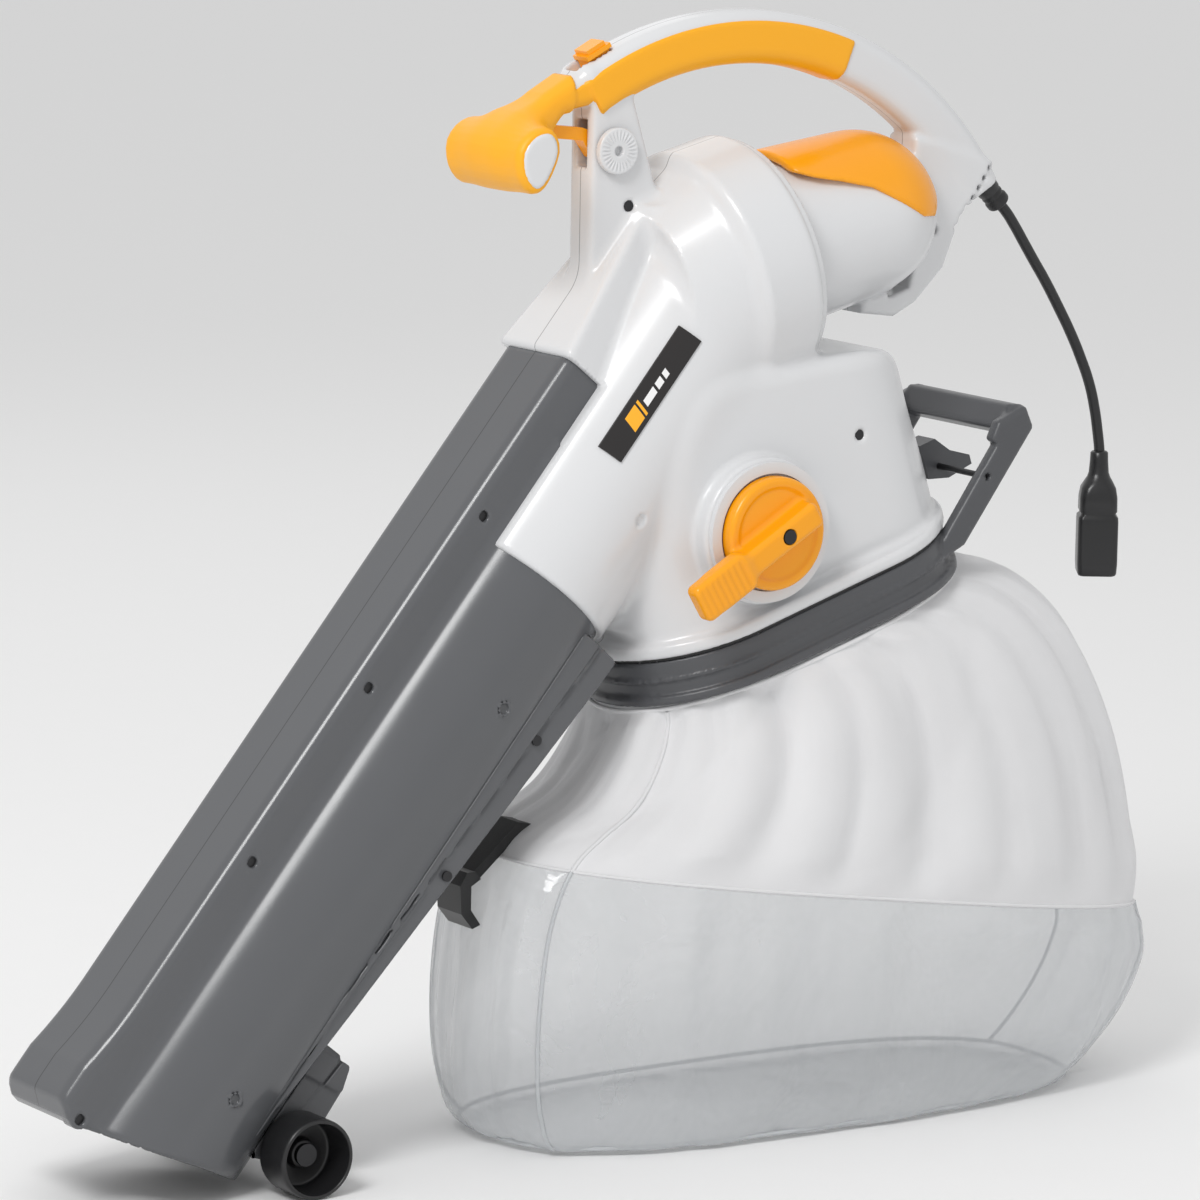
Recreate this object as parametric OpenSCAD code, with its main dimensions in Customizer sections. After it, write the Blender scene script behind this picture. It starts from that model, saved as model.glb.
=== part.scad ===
// Electric blower-vacuum with a twin-duct nozzle tube, wheels and a collecting bag.
// Frame: +X points to the rear (bag and lead), +Z up, the clamshell split is the plane y = 0.
// The machine stands on its two tube wheels and on the bottom of its bag.

/* [Nozzle tube] */
// Length of the tube from its mouth to the motor housing
tube_len = 566; // [460:1:590]
// Slope of the tube above the floor
tube_angle = 51; // [50:0.5:52]
// Outer radius of the round suction duct
duct_r = 62; // [54:1:64]
// Half width of the flat blowing duct on top of the tube
top_half_w = 37; // [31:1:42]
// Height of the flat blowing duct
top_h = 25; // [20:1:28]
// Wall of the moulded tube
tube_wall = 2.6; // [2:0.1:4]
// Half width of the rail under the tube
rail_half_w = 54; // [46:1:58]

/* [Fan and motor] */
// Outer radius of the fan casing
fan_r = 80; // [70:1:92]
// Half the depth of the fan casing
fan_half = 22; // [20:1:28]
// Tilt of the motor axis above the floor
fan_tilt = 15; // [12:1:18]
// Outer radius of the motor barrel
barrel_r = 53; // [48:1:56]
// Length of the straight part of the motor barrel, from the fan centre
barrel_len = 104; // [100:1:120]
// Radius of the motor shaft
shaft_r = 4; // [3:0.5:5]
// Wall of the motor housing
wall = 3; // [2.4:0.1:3.6]

/* [Selector] */
// Radius of the selector knob
knob_r = 36; // [28:1:40]
// Radius of the selector shaft
selector_r = 5; // [4:0.5:6]
// Width of the air flap
flap_w = 112; // [80:1:122]

/* [Handle] */
// Radius of the handle arch to the middle of the grip
arch_r = 217; // [212:1:222]
// Depth of the grip, across the arch
grip_d = 34; // [28:1:38]
// Width of the grip
grip_w = 34; // [28:1:40]
// Half length of the cross grip at the front
cross_half = 44; // [38:1:54]

/* [Wheels] */
// Wheel radius
wheel_r = 25; // [20:0.5:30]
// Wheel width
wheel_w = 29; // [24:1:40]
// Axle radius
axle_r = 4; // [3:0.5:5]

/* [Bag] */
// Half length of the oval bag mouth
mouth_a = 130; // [122:1:136]
// Half width of the oval bag mouth
mouth_b = 76; // [74:1:86]
// Height of the bag frame
frame_h = 28; // [22:1:34]
// Bag length
bag_len = 510; // [430:1:560]
// Bag width
bag_w = 196; // [160:1:236]

/* [Cord] */
// Cord diameter
cord_d = 7; // [6:0.5:9]

/* [Hidden] */
$fn = 64;
run = 0.05;              // radial clearance of a running fit
gap = 0.4;               // clearance between pieces that sit beside each other
shift_x = -3.9;          // puts the middle of the machine over the origin
neck = [-51, 0, 496.3];   // top seam of the tube where it meets the motor housing
duct_z = -78;            // centre of the suction duct below the top seam
mouth_cut = 17;          // slant of the nozzle mouth
sleeve_low = -120;       // lower end of the housing sleeve round the suction duct
duct_end = -46;          // upper end of the suction duct, inside the sleeve
sleeve_in = duct_r + gap;
sleeve_r = sleeve_in + wall;
fan = [87, 0, 543];      // centre of the fan
fan_in = fan_r - wall;
eye_r = duct_r - 9;      // open eye in the front wall of the fan casing
barrel_in = barrel_r - wall;
mouth = [130, 0, 312];   // centre of the lower lip of the bag frame
mouth_tilt = 18;
seal_t = 2;
flange_t = 8;
flange_z = frame_h + seal_t + gap;
body_half = 68;          // half width of the outlet duct
arch = [94, 0, 470];     // centre of the handle arch
arch_out = arch_r + grip_d / 2;
arch_in = arch_r - grip_d / 2;
skin = 2.4;              // thickness of the soft grip skin
grip_half = grip_w / 2 - skin;
pivot = [72, 0, 386];    // selector shaft
knob_face = -(body_half + 10);
lock_at = [-9, 0, 621];  // pivot of the lock lever
cross = [-76, 0, 622];   // cross grip
cross_slope = 50;
slider_a = 118;          // place of the power slider on the arch, in degrees
axle_at = [77 - tube_len, -145];
hub_y = rail_half_w - 7.5;  // inner face of each wheel
latch_at = [254, 0, 406];
bag_floor = 0;
bag_mid = 153;           // middle of the bag along X
seam_z = 155;            // height of the seam between cloth and vinyl
cord_path = [[303,0,573],[309,0,567],[316,0,558],[324,0,546.5],[332,0,535],[342,0,521],[353,0,504],
             [364,0,486],[373,0,469],[381,0,451],[386,0,434],[389,0,419],[391,0,406]];
cord_sides = 8;
screw_r = 1.9;
screw_head_r = 3.3;
hole_play = 0.2;
tube_screws_at = [[-110, -13], [-238, -13], [-366, -13], [14 - tube_len, -13]];
rail_screws_at = [[-199, -124], [-300, -124]];
housing_screws_at = [[150, 440], [8, 585], [240, 560]];

white = "#e8eaed";
orange = "#f0a010";
grey = "#66686b";
dark = "#3a3b3d";
black = "#202022";
steel = "#b8bcc0";
copper = "#b06a3a";
vinyl = "#d4dbe0";

// ---------- frames and plain helpers ----------
module place() { translate([shift_x, 0, 0]) children(); }
module in_tube() { translate(neck) rotate([0, -tube_angle, 0]) children(); }
module in_fan() { translate(fan) rotate([0, -fan_tilt, 0]) children(); }
module in_mouth() { translate(mouth) rotate([0, -mouth_tilt, 0]) children(); }
module on_arch(a) { translate(arch) rotate([0, 90 - a, 0]) children(); }
module rod(x0, x1, r) { translate([x0, 0, 0]) rotate([0, 90, 0]) cylinder(r = r, h = x1 - x0); }
module ring(x0, x1, r, bore) {
    difference() {
        rod(x0, x1, r);
        rod(x0 - 1, x1 + 1, bore);
    }
}
module across(x, z, y0, y1, r) {
    translate([x, y0, z]) rotate([-90, 0, 0]) cylinder(r = r, h = y1 - y0);
}
module slab(y0, y1) { translate([0, y1, 0]) rotate([90, 0, 0]) linear_extrude(y1 - y0) children(); }
module along(x0, x1) { translate([x0, 0, 0]) rotate([90, 0, 90]) linear_extrude(x1 - x0) children(); }
module half(side) {
    intersection() {
        children();
        translate([-800, side < 0 ? -300 : 0, -400]) cube([1600, 300, 1300]);
    }
}
module oval(a, b) {
    square([2 * (a - b), 2 * b], center = true);
    for (s = [-1, 1]) translate([s * (a - b), 0]) circle(r = b);
}
module oval_plate(a, b, z0, z1) { translate([0, 0, z0]) linear_extrude(z1 - z0) oval(a, b); }

// ---------- nozzle tube ----------
// cross section of the flat blowing duct, grown by g
module top_section(g) {
    translate([0, -top_h / 2]) square([2 * (top_half_w + g), top_h - 8], center = true);
    translate([0, -top_h / 2]) square([2 * (top_half_w - 4), top_h + 2 * g], center = true);
    for (y = [-1, 1], z = [-4, 4 - top_h]) translate([y * (top_half_w - 4), z]) circle(r = 4 + g);
}
// side view of the tube: upright nose and slanted mouth
module nozzle_profile() {
    foot = -tube_len + 110 * tan(mouth_cut);
    polygon([[-tube_len, -9], [12 - tube_len, 1], [1, 1], [1, -150], [foot + 22, -150], [foot, -119]]);
}
tube_head_y = top_half_w - 5;
module tube_screw_holes(g) {
    for (p = tube_screws_at) {
        across(p[0], p[1], -duct_r - 9, 14, screw_r + g);
        across(p[0], p[1], -duct_r - 9, -tube_head_y, screw_head_r + g);
    }
}
module tube_shell() {
    difference() {
        intersection() {
            union() {
                translate([0, 0, duct_z]) rod(-tube_len - 1, duct_end, duct_r);
                along(-tube_len - 1, 0) top_section(0);
            }
            slab(-duct_r - 1, duct_r + 1) nozzle_profile();
        }
        translate([0, 0, duct_z]) rod(-tube_len - 2, 2, duct_r - tube_wall);
        difference() {
            along(-tube_len - 2, 2) top_section(-tube_wall);
            translate([0, 0, duct_z]) rod(-tube_len - 3, 3, duct_r);
            for (p = tube_screws_at) across(p[0], p[1], -duct_r, duct_r, screw_head_r + 2);
        }
        tube_screw_holes(hole_play);
    }
}
module tube_left() { color(grey) in_tube() half(-1) tube_shell(); }
module tube_right() { color(grey) in_tube() half(1) tube_shell(); }

// rail under the tube: a shallow trough that deepens towards the housing
rail_foot = 30 - tube_len;
rail_low = -113;
rail_high = -145;
module rail_profile(g) {
    polygon([[rail_foot + g, -98], [rail_foot + 20 + g, rail_low + g],
             [sleeve_low - 4 - g, rail_high + g], [sleeve_low - 4 - g, -92], [rail_foot + g, -92]]);
}
module tube_rail() {
    color(grey) in_tube() difference() {
        slab(-rail_half_w, rail_half_w) rail_profile(0);
        difference() {
            slab(-rail_half_w + tube_wall, rail_half_w - tube_wall) rail_profile(tube_wall);
            for (p = rail_screws_at) across(p[0], p[1], -rail_half_w, 12 - rail_half_w, screw_head_r + 2);
        }
        translate([0, 0, duct_z]) rod(-tube_len - 2, 0, duct_r + gap / 2);
        for (p = rail_screws_at) {
            across(p[0], p[1], -rail_half_w - 1, -rail_half_w + 15, screw_r + hole_play);
            across(p[0], p[1], -rail_half_w - 1, 1.6 - rail_half_w, screw_head_r + hole_play);
        }
    }
}
module tube_screws() {
    color(steel) in_tube() {
        for (p = tube_screws_at) {
            across(p[0], p[1], -tube_head_y, 12, screw_r);
            across(p[0], p[1], -tube_head_y - 2.6, -tube_head_y, screw_head_r);
        }
        for (p = rail_screws_at) {
            across(p[0], p[1], 1.6 - rail_half_w, 10 - rail_half_w, screw_r);
            across(p[0], p[1], 0.2 - rail_half_w, 1.6 - rail_half_w, screw_head_r);
        }
    }
}

// ---------- wheels ----------
carriage_half = hub_y - 2;
module carriage_profile() {
    x = axle_at[0];
    polygon([[x - 25, rail_low - 1.6], [x - 8, rail_low - 3.2], [x + 64, rail_low - 9.6], [x + 64, -140],
             [x + 50, -154], [x + 4, axle_at[1] - 11], [x - 10, axle_at[1] - 4], [x - 18, -124]]);
}
module wheel_carriage() {
    color(dark) in_tube() difference() {
        slab(-carriage_half, carriage_half) carriage_profile();
        translate([0, 0, duct_z]) rod(-tube_len - 2, 0, duct_r + gap / 2);
        across(axle_at[0], axle_at[1], -60, 60, axle_r + hole_play / 2);
        slab(-carriage_half + 4, carriage_half - 4)
            translate([axle_at[0] + 34, -137]) square([34, 14], center = true);
    }
}
module wheel_axle() {
    color(steel) in_tube()
        across(axle_at[0], axle_at[1], -hub_y - 12, hub_y + 12, axle_r);
}
module axle_screws() {
    color(steel) in_tube() for (s = [-1, 1]) {
        y0 = s > 0 ? hub_y + 12 : -hub_y - 15;
        across(axle_at[0], axle_at[1], y0, y0 + 3, axle_r + 3);
    }
}
// a drum with a deep cup towards the outside and a hub boss in the middle
module wheel(s) {
    in_tube() translate([axle_at[0], 0, axle_at[1]]) mirror([0, s > 0 ? 0 : 1, 0]) difference() {
        across(0, 0, hub_y, hub_y + wheel_w, wheel_r);
        difference() {
            across(0, 0, hub_y + 5, hub_y + wheel_w + 1, wheel_r - 3);
            across(0, 0, hub_y + 4, hub_y + 12 - gap, axle_r + 5);
        }
        across(0, 0, hub_y - 1, hub_y + wheel_w, axle_r + run);
    }
}
module wheel_left() { color(black) wheel(-1); }
module wheel_right() { color(black) wheel(1); }

// ---------- motor housing ----------
// side view of the outlet duct that leads down to the bag, grown by g
module outlet_profile(g) {
    polygon([[2 - g, 306 - g], [246 + g, 385 - g], [222 + g, 440 + g], [204 + g, 478 + g],
             [160, 500 + g], [30, 480 + g], [-2 - g, 400]]);
}
module housing_form(g) {
    in_fan() {
        rod(-fan_half - g, fan_half + g, fan_r + g);
        translate([-fan_half - 34, 0, 0]) rotate([0, 90, 0])
            cylinder(r1 = duct_r - 6 + g, r2 = fan_r - 6 + g, h = 34);
        rod(0, barrel_len, barrel_r + g);
        translate([barrel_len, 0, 0]) sphere(r = barrel_r + g);
    }
    in_tube() {
        translate([0, 0, duct_z]) rod(sleeve_low + (g < 0 ? -1 : 0), 92, sleeve_r + g);
        along(gap, 100) translate([0, -31]) square([2 * (top_half_w + wall + g), 66 + 2 * g], center = true);
    }
    intersection() {
        slab(-body_half - g, body_half + g) outlet_profile(g);
        in_mouth() oval_plate(mouth_a - 2 + g, body_half + g, -30, 260);
    }
}
// handle arch, column, rear leg and cross grip core, in side view
module arch_band(r0, r1, a0, a1) {
    translate([arch[0], arch[2]]) intersection() {
        difference() {
            circle(r = r1, $fn = 160);
            circle(r = r0, $fn = 160);
        }
        polygon([[0, 0], 400 * [cos(a0), sin(a0)], 400 * [cos((a0 + a1) / 2), sin((a0 + a1) / 2)],
                 400 * [cos(a1), sin(a1)]]);
    }
}
module column_profile() { polygon([[-21, 655], [-21, 520], [40, 520], [30, 590], [10, 655]]); }
module leg_profile() {
    difference() {
        polygon([[224, 621], [288, 602], [262, 564], [250, 534], [228, 512], [210, 503], [182, 508],
                 [196, 560], [222, 592]]);
        polygon([[202, 528], [226, 546], [222, 524], [206, 518]]);
    }
}
module arm_profile() {
    polygon([[-18, 674], [-54, 657], [-70, 644], [-86, 620], [-76, 612], [-60, 634], [-45, 644], [-15, 646]]);
}
module cross_core(g, half_len) {
    translate(cross) rotate([0, -cross_slope, 0]) for (x = [-10, 10])
        across(x, 0, -half_len, half_len, 9 + g);
    translate(cross) rotate([0, -cross_slope, 0])
        translate([-10, -half_len, -9 - g]) cube([20, 2 * half_len, 18 + 2 * g]);
}
module handle_form() {
    slab(-grip_half, grip_half) {
        arch_band(arch_in + skin, arch_out, 122, 33);
        arm_profile();
    }
    slab(-grip_half - 1, grip_half + 1) {
        column_profile();
        leg_profile();
    }
    cross_core(0, cross_half);
}
module selector_boss() { across(pivot[0], pivot[2], knob_face, knob_face + 14, knob_r + 10); }
module flange(z0, z1, grow) { in_mouth() oval_plate(mouth_a + grow, mouth_b + grow, z0, z1); }
module housing_screw_holes(g) {
    for (p = housing_screws_at) {
        across(p[0], p[1], -100, 8, screw_r + g);
        across(p[0], p[1], -100, -screw_head_y(p), screw_head_r + g);
    }
}
function screw_head_y(p) = p[1] < 520 ? body_half - 6 : 10;
module housing_shell() {
    difference() {
        union() {
            housing_form(0);
            handle_form();
            selector_boss();
            across(pivot[0], pivot[2], body_half - 10, body_half + 4, 14);
            flange(flange_z, flange_z + flange_t, 2);
        }
        difference() {
            housing_form(-wall);
            for (p = housing_screws_at) if (p[1] < 520) across(p[0], p[1], -90, 90, 6);
            across(pivot[0], pivot[2], -90, -body_half + 12, selector_r + 6);
            across(pivot[0], pivot[2], body_half - 12, 90, selector_r + 6);
            in_tube() translate([0, 0, duct_z]) ring(sleeve_low - 2, 70, sleeve_r, sleeve_in);
        }
        // the bag side of the flange is open
        in_mouth() oval_plate(mouth_a - 8, body_half - wall, -60, flange_z + flange_t + 1);
        flange(-60, flange_z, 12);
        // eye of the fan
        in_fan() rod(-fan_half - 1, -fan_half + wall + 1, eye_r);
        // room for the tube
        in_tube() {
            along(sleeve_low - 1, gap) top_section(gap);
            along(sleeve_low - 1, gap) translate([-60, -26]) square([120, 40]);
        }
        // hollow handle, power slot and lock lever slot
        slab(-grip_half + wall, grip_half - wall) arch_band(arch_in + skin + wall, arch_out - wall, 119, 40);
        on_arch(slider_a) translate([-13, -6.5, arch_out - 12]) cube([26, 13, 20]);
        slab(-5.6, 5.6) polygon([[-24, 612], [4, 606], [4, 636], [-24, 641.5]]);
        across(lock_at[0], lock_at[2], -12, 12, 2.5);
        // motor shaft, selector shaft, lead and screws
        across(pivot[0], pivot[2], -90, 90, selector_r + run);
        at_exit() rod(-56, -10, cord_d / 2 + 2.6);
        housing_screw_holes(hole_play);
        difference() {
            motor_cover_form(gap);
            slab(-grip_half - 1, grip_half + 1) leg_zone();
        }
    }
}
module housing_left() { color(white) half(-1) housing_shell(); }
module housing_right() { color(white) half(1) housing_shell(); }
module housing_screws() {
    color(steel) for (p = housing_screws_at) {
        across(p[0], p[1], -screw_head_y(p), 6, screw_r);
        across(p[0], p[1], -screw_head_y(p) - 2.6, -screw_head_y(p), screw_head_r);
    }
}
// orange cap over the back of the motor, let into the barrel
cover_t = 2;
module motor_cover_form(g) {
    in_fan() difference() {
        union() {
            rod(30 - g, barrel_len, barrel_r + 3);
            translate([barrel_len, 0, 0]) sphere(r = barrel_r + 3);
        }
        rod(0, barrel_len, barrel_r - cover_t + 1 - g);
        translate([barrel_len, 0, 0]) sphere(r = barrel_r - cover_t + 1 - g);
        translate([-200, -100, -150]) cube([500, 200, 150 + 18 - g]);
    }
}
module motor_cover() {
    color(orange) difference() {
        motor_cover_form(0);
        slab(-grip_half - 1 - gap, grip_half + 1 + gap) leg_zone();
    }
}
// where the rear leg of the handle stands on the barrel
module leg_zone() { polygon([[214, 640], [300, 640], [300, 500], [205, 500], [205, 560]]); }

// ---------- soft grips, label and bezel ----------
module grip(y0, y1) {
    color(orange) slab(y0, y1) arch_band(arch_in, arch_out - 7, 114, 68);
}
module grip_left() {
    grip(-grip_half - skin, -grip_half - gap / 4);
    color(orange) slab(-grip_half - gap / 4, 0) arch_band(arch_in, arch_in + skin - gap / 4, 114, 68);
}
module grip_right() {
    grip(grip_half + gap / 4, grip_half + skin);
    color(orange) slab(0, grip_half + gap / 4) arch_band(arch_in, arch_in + skin - gap / 4, 114, 68);
}
// soft sleeve moulded round the cross grip, open where the arm comes in
module cross_grip() {
    color(orange) difference() {
        cross_core(4, cross_half - 1);
        cross_core(0.1, cross_half + 1);
        slab(-grip_half - gap, grip_half + gap) arm_profile();
    }
}
module label_plate() {
    color(black) in_tube() intersection() {
        translate([-34, -sleeve_r - 2, -57]) cube([92, 14, 15]);
        translate([0, 0, duct_z]) ring(-60, 90, sleeve_r + 1.2, sleeve_r);
    }
}
module knob_bezel() {
    color(white) difference() {
        across(pivot[0], pivot[2], knob_face - 4, knob_face, knob_r + 8);
        across(pivot[0], pivot[2], knob_face - 5, knob_face + 1, knob_r + 1);
    }
}

// ---------- air path and motor ----------
// spider across the fan eye that keeps fingers out
module intake_guard() {
    color(dark) in_fan() {
        for (r = [14, 32, eye_r - 1]) ring(-fan_half - 2, -fan_half, r + 2, r);
        for (a = [0:60:300]) rotate([a, 0, 0]) translate([-fan_half - 2, -1.5, 15]) cube([2, 3, eye_r - 15]);
    }
}
module diffuser_plate() {
    color(dark) in_fan() difference() {
        union() {
            rod(fan_half - wall - 3, fan_half - wall, fan_in - gap);
            rod(fan_half - wall, fan_half + 8, 15);
        }
        rod(fan_half - 1, fan_half + 9, 11);
        rod(0, 60, shaft_r + 2);
        for (a = [20:40:340]) rotate([a, 0, 0]) translate([0, 0, 30]) rod(0, 60, 5);
    }
}
module stator_core() {
    color(steel) in_fan() ring(38, 86, barrel_in - gap, 36);
}
module field_coils() {
    color(copper) in_fan() for (s = [-1, 1]) intersection() {
        ring(40, 84, 35.6, 26.4);
        translate([30, -20, s > 0 ? 0 : -40]) cube([60, 40, 40]);
    }
}
module brush_holders() {
    color(dark) in_fan() difference() {
        union() {
            rod(116, 120, 46);
            rod(120, 130, 14);
            for (s = [-1, 1]) translate([99, s > 0 ? 17 : -33, -6]) cube([17.5, 16, 12]);
        }
        rod(122, 131, 10);
        rod(90, 140, shaft_r + 3);
        for (s = [-1, 1]) translate([101, s > 0 ? 10 : -30, -4]) cube([9, 20, 8]);
        for (a = [30:60:330]) rotate([a, 0, 0]) translate([0, 0, 32]) rod(110, 125, 7);
    }
}
module carbon_brushes() {
    color(black) in_fan() for (s = [-1, 1])
        translate([101.1, s > 0 ? 13 : -29.8, -3.9]) cube([8.8, 16.8, 7.8]);
}
module front_bearing() { color(steel) in_fan() ring(fan_half - 1, fan_half + 7, 11, shaft_r + run); }
module rear_bearing() { color(steel) in_fan() ring(122, 129, 10, shaft_r + run); }

// ---------- rotor ----------
module motor_shaft() { color(steel) in_fan() rod(-fan_half, 131, shaft_r); }
module armature_core() { color(steel) in_fan() ring(42, 80, 26 - gap, shaft_r); }
module armature_winding() {
    color(copper) in_fan() {
        ring(35, 42, 20, shaft_r);
        ring(80, 90, 20, shaft_r);
    }
}
module commutator() { color(copper) in_fan() ring(98, 112, 12.5, shaft_r); }
module cooling_fan() {
    color(dark) in_fan() {
        ring(92, 96, 14, shaft_r);
        for (a = [0:45:315]) rotate([a, 0, 0]) translate([92, -1, 13]) cube([4, 2, 18]);
    }
}
impeller_r = fan_in - 7;
module impeller() {
    color(dark) in_fan() {
        ring(fan_half - 12, fan_half - 9, impeller_r, shaft_r);
        ring(-fan_half + 14, fan_half - 12, 14, shaft_r);
        for (a = [0:30:330]) rotate([a, 0, 0])
            translate([-fan_half + 8, -1, 13]) cube([2 * fan_half - 20, 2.4, impeller_r - 16]);
    }
}
module impeller_nut() { color(steel) in_fan() ring(-fan_half + 7, -fan_half + 14, 8, shaft_r); }

// ---------- electrics ----------
module switch_unit() {
    color(black) on_arch(slider_a - 5) difference() {
        translate([-6, wall - grip_half, arch_in + 9]) cube([26, 2 * (grip_half - wall), grip_d - 24]);
        translate([-30, -20, arch_out - 13]) cube([80, 40, 12]);
    }
}
module capacitor() { color(steel) on_arch(84) translate([0, 0, arch_r]) rod(-14, 14, 8); }
module internal_lead() {
    color(black) slab(-2.5, 2.5) {
        arch_band(arch_r - 2.5, arch_r + 2.5, 106.6, 88);
        arch_band(arch_r - 2.5, arch_r + 2.5, 80, 46.4);
    }
}
module cord_clamp() { color(black) on_arch(45) translate([-2, -8, arch_r - 6]) cube([8, 16, 12]); }

// point i of the cord, and the direction of the cord there
function way(i) = let (n = len(cord_path) - 1)
    cord_path[min(i + 1, n)] - cord_path[max(i - 1, 0)];
function unit(v) = v / norm(v);
function cord_ring(i) = let (t = unit(way(i)), u = unit(cross_of([0, 1, 0], t)), v = [0, 1, 0])
    [for (k = [0:cord_sides - 1]) let (a = 360 * k / cord_sides)
        cord_path[i] + cord_d / 2 * (cos(a) * u + sin(a) * v)];
function cross_of(a, b) = [a[1] * b[2] - a[2] * b[1], a[2] * b[0] - a[0] * b[2], a[0] * b[1] - a[1] * b[0]];
module cord() {
    n = len(cord_path);
    rings = [for (i = [0:n - 1]) each cord_ring(i)];
    sides = [for (i = [0:n - 2], k = [0:cord_sides - 1]) let (j = (k + 1) % cord_sides)
        [i * cord_sides + k, i * cord_sides + j, (i + 1) * cord_sides + j, (i + 1) * cord_sides + k]];
    caps = [[for (k = [cord_sides - 1:-1:0]) k], [for (k = [0:cord_sides - 1]) (n - 1) * cord_sides + k]];
    color(black) polyhedron(points = rings, faces = concat(sides, caps));
}
// direction in which the cord leaves the handle, as an angle below the horizontal
exit_fall = atan2(cord_path[0][2] - cord_path[1][2], cord_path[1][0] - cord_path[0][0]);
module at_exit() { translate(cord_path[0]) rotate([0, exit_fall, 0]) children(); }
module strain_relief() {
    color(black) at_exit() difference() {
        union() {
            rod(-42, -26, cord_d / 2 + 2.4);
            translate([-26, 0, 0]) rotate([0, 90, 0])
                cylinder(r1 = cord_d / 2 + 5, r2 = cord_d / 2 + 3, h = 22);
            rod(-4, 0, cord_d / 2 + 4);
        }
        rod(-44, -2, cord_d / 2);
    }
}
plug_top = cord_path[len(cord_path) - 1];
plug_turn = 33.5;
module plug_body() {
    color(black) translate(plug_top) rotate([0, 0, -plug_turn]) {
        translate([0, 0, -18]) cylinder(r1 = 9, r2 = cord_d / 2 + 2, h = 18);
        translate([-12.5, -12.5, -42]) cube([25, 25, 24]);
        translate([-13.5, -13.5, -82]) cube([27, 27, 40]);
    }
}
module plug_blades() {
    color(steel) translate(plug_top) rotate([0, 0, -plug_turn])
        for (s = [-1, 1]) translate([s * 6.35 - 0.75, 13.5, -68]) cube([1.5, 17, 6.3]);
}

// ---------- selector ----------
module selector_shaft() {
    color(steel) across(pivot[0], pivot[2], knob_face - 10, body_half + 6, selector_r);
}
// knob disc with a raised lever that ends in a ribbed paddle
lever_a = 211;
module selector_knob() {
    color(orange) difference() {
        union() {
            across(pivot[0], pivot[2], knob_face - 13, knob_face - gap, knob_r);
            translate([pivot[0], 0, pivot[2]]) rotate([0, -lever_a, 0]) {
                translate([-knob_r + 8, knob_face - 27, -8]) cube([knob_r + 26, 15, 16]);
                translate([34, knob_face - 27, -12]) cube([42, 13, 24]);
            }
        }
        across(pivot[0], pivot[2], knob_face - 10, knob_face + 1, selector_r);
        across(pivot[0], pivot[2], knob_face - 28, knob_face - 9, 2.1);
        across(pivot[0], pivot[2], knob_face - 28, knob_face - 22, 5);
    }
}
module selector_screw() {
    color(steel) {
        across(pivot[0], pivot[2], knob_face - 25, knob_face - 22, 4.5);
        across(pivot[0], pivot[2], knob_face - 22, knob_face - 10, 2);
    }
}
flap_a = 34;
module selector_flap() {
    color(dark) translate([pivot[0], 0, pivot[2]]) rotate([0, -flap_a, 0]) difference() {
        union() {
            across(0, 0, -flap_w / 2, flap_w / 2, selector_r + 3);
            translate([0, -flap_w / 2, -1.5]) cube([50, flap_w, 3]);
        }
        across(0, 0, -flap_w, flap_w, selector_r);
    }
}

// ---------- power slider and lock lever ----------
slide_travel = 8;
module power_slider() {
    color(orange) on_arch(slider_a) {
        translate([-4.2, -5.8, arch_out - 9]) cube([16.6, 11.6, 9.4]);
        translate([-5, -8, arch_out + gap]) cube([19, 16, 3]);
        translate([-3, -7, arch_out + gap + 3]) cube([14, 14, 3]);
    }
}
module lock_lever() {
    color(orange) difference() {
        union() {
            slab(-5, 5) polygon([[-22, 626], [-14, 615], [-4, 615], [-2, 624], [-12, 630], [-22, 634]]);
            slab(-5, 5) polygon([[-52, 629], [-22, 626], [-22, 634], [-50, 637]]);
        }
        across(lock_at[0], lock_at[2], -12, 12, 2.5 + run);
    }
}
module lock_pin() { color(steel) across(lock_at[0], lock_at[2], -11.8, 11.8, 2.5); }

// ---------- bag ----------
module bag_seal() {
    color(black) in_mouth() difference() {
        oval_plate(mouth_a - 1, mouth_b - 1, frame_h + gap, frame_h + gap + seal_t);
        oval_plate(mouth_a - 6, mouth_b - 6, frame_h, frame_h + 9);
    }
}
module bag_frame() {
    color(grey) in_mouth() difference() {
        union() {
            oval_plate(mouth_a, mouth_b, 0, frame_h);
            oval_plate(mouth_a + 3, mouth_b + 3, 2, 6);
        }
        oval_plate(mouth_a - 3.5, mouth_b - 3.5, -1, frame_h + 1);
    }
}
// fixed carrying bail behind the frame: two arms and a bar
bail_half = 62;
latch_pin_r = 2;
module bag_handle() {
    color(grey) difference() {
        union() {
            for (s = [-1, 1]) slab(s > 0 ? bail_half - 10 : -bail_half, s > 0 ? bail_half : -bail_half + 10)
                polygon([[214, 354], [238, 362], [291, 436], [284, 451], [262, 441], [257, 430], [263, 426],
                         [226, 370]]);
            slab(-bail_half + 9, bail_half - 9)
                polygon([[274, 451], [268, 435], [279, 429], [291, 436], [287, 450]]);
        }
        across(latch_at[0], latch_at[2], 4 - bail_half, bail_half - 4, latch_pin_r);
    }
}
module bag_side(g) {
    polygon([[bag_mid - bag_len / 2 + 32 + g, 6 + g], [bag_mid - bag_len / 2 + 70 + g, bag_floor + g],
             [bag_mid + bag_len / 2 - 110 - g, bag_floor + g], [bag_mid + bag_len / 2 - 20 - g, 40 + g],
             [bag_mid + bag_len / 2 - g, 100], [bag_mid + bag_len / 2 - 14 - g, 190],
             [bag_mid + bag_len / 2 - 70 - g, 270 - g], [248 - g, 340 - g], [226, 343 - g], [14 + g, 272],
             [bag_mid - bag_len / 2 + 42 + g, 190], [bag_mid - bag_len / 2 + g, 100],
             [bag_mid - bag_len / 2 + g, 50]]);
}
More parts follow.
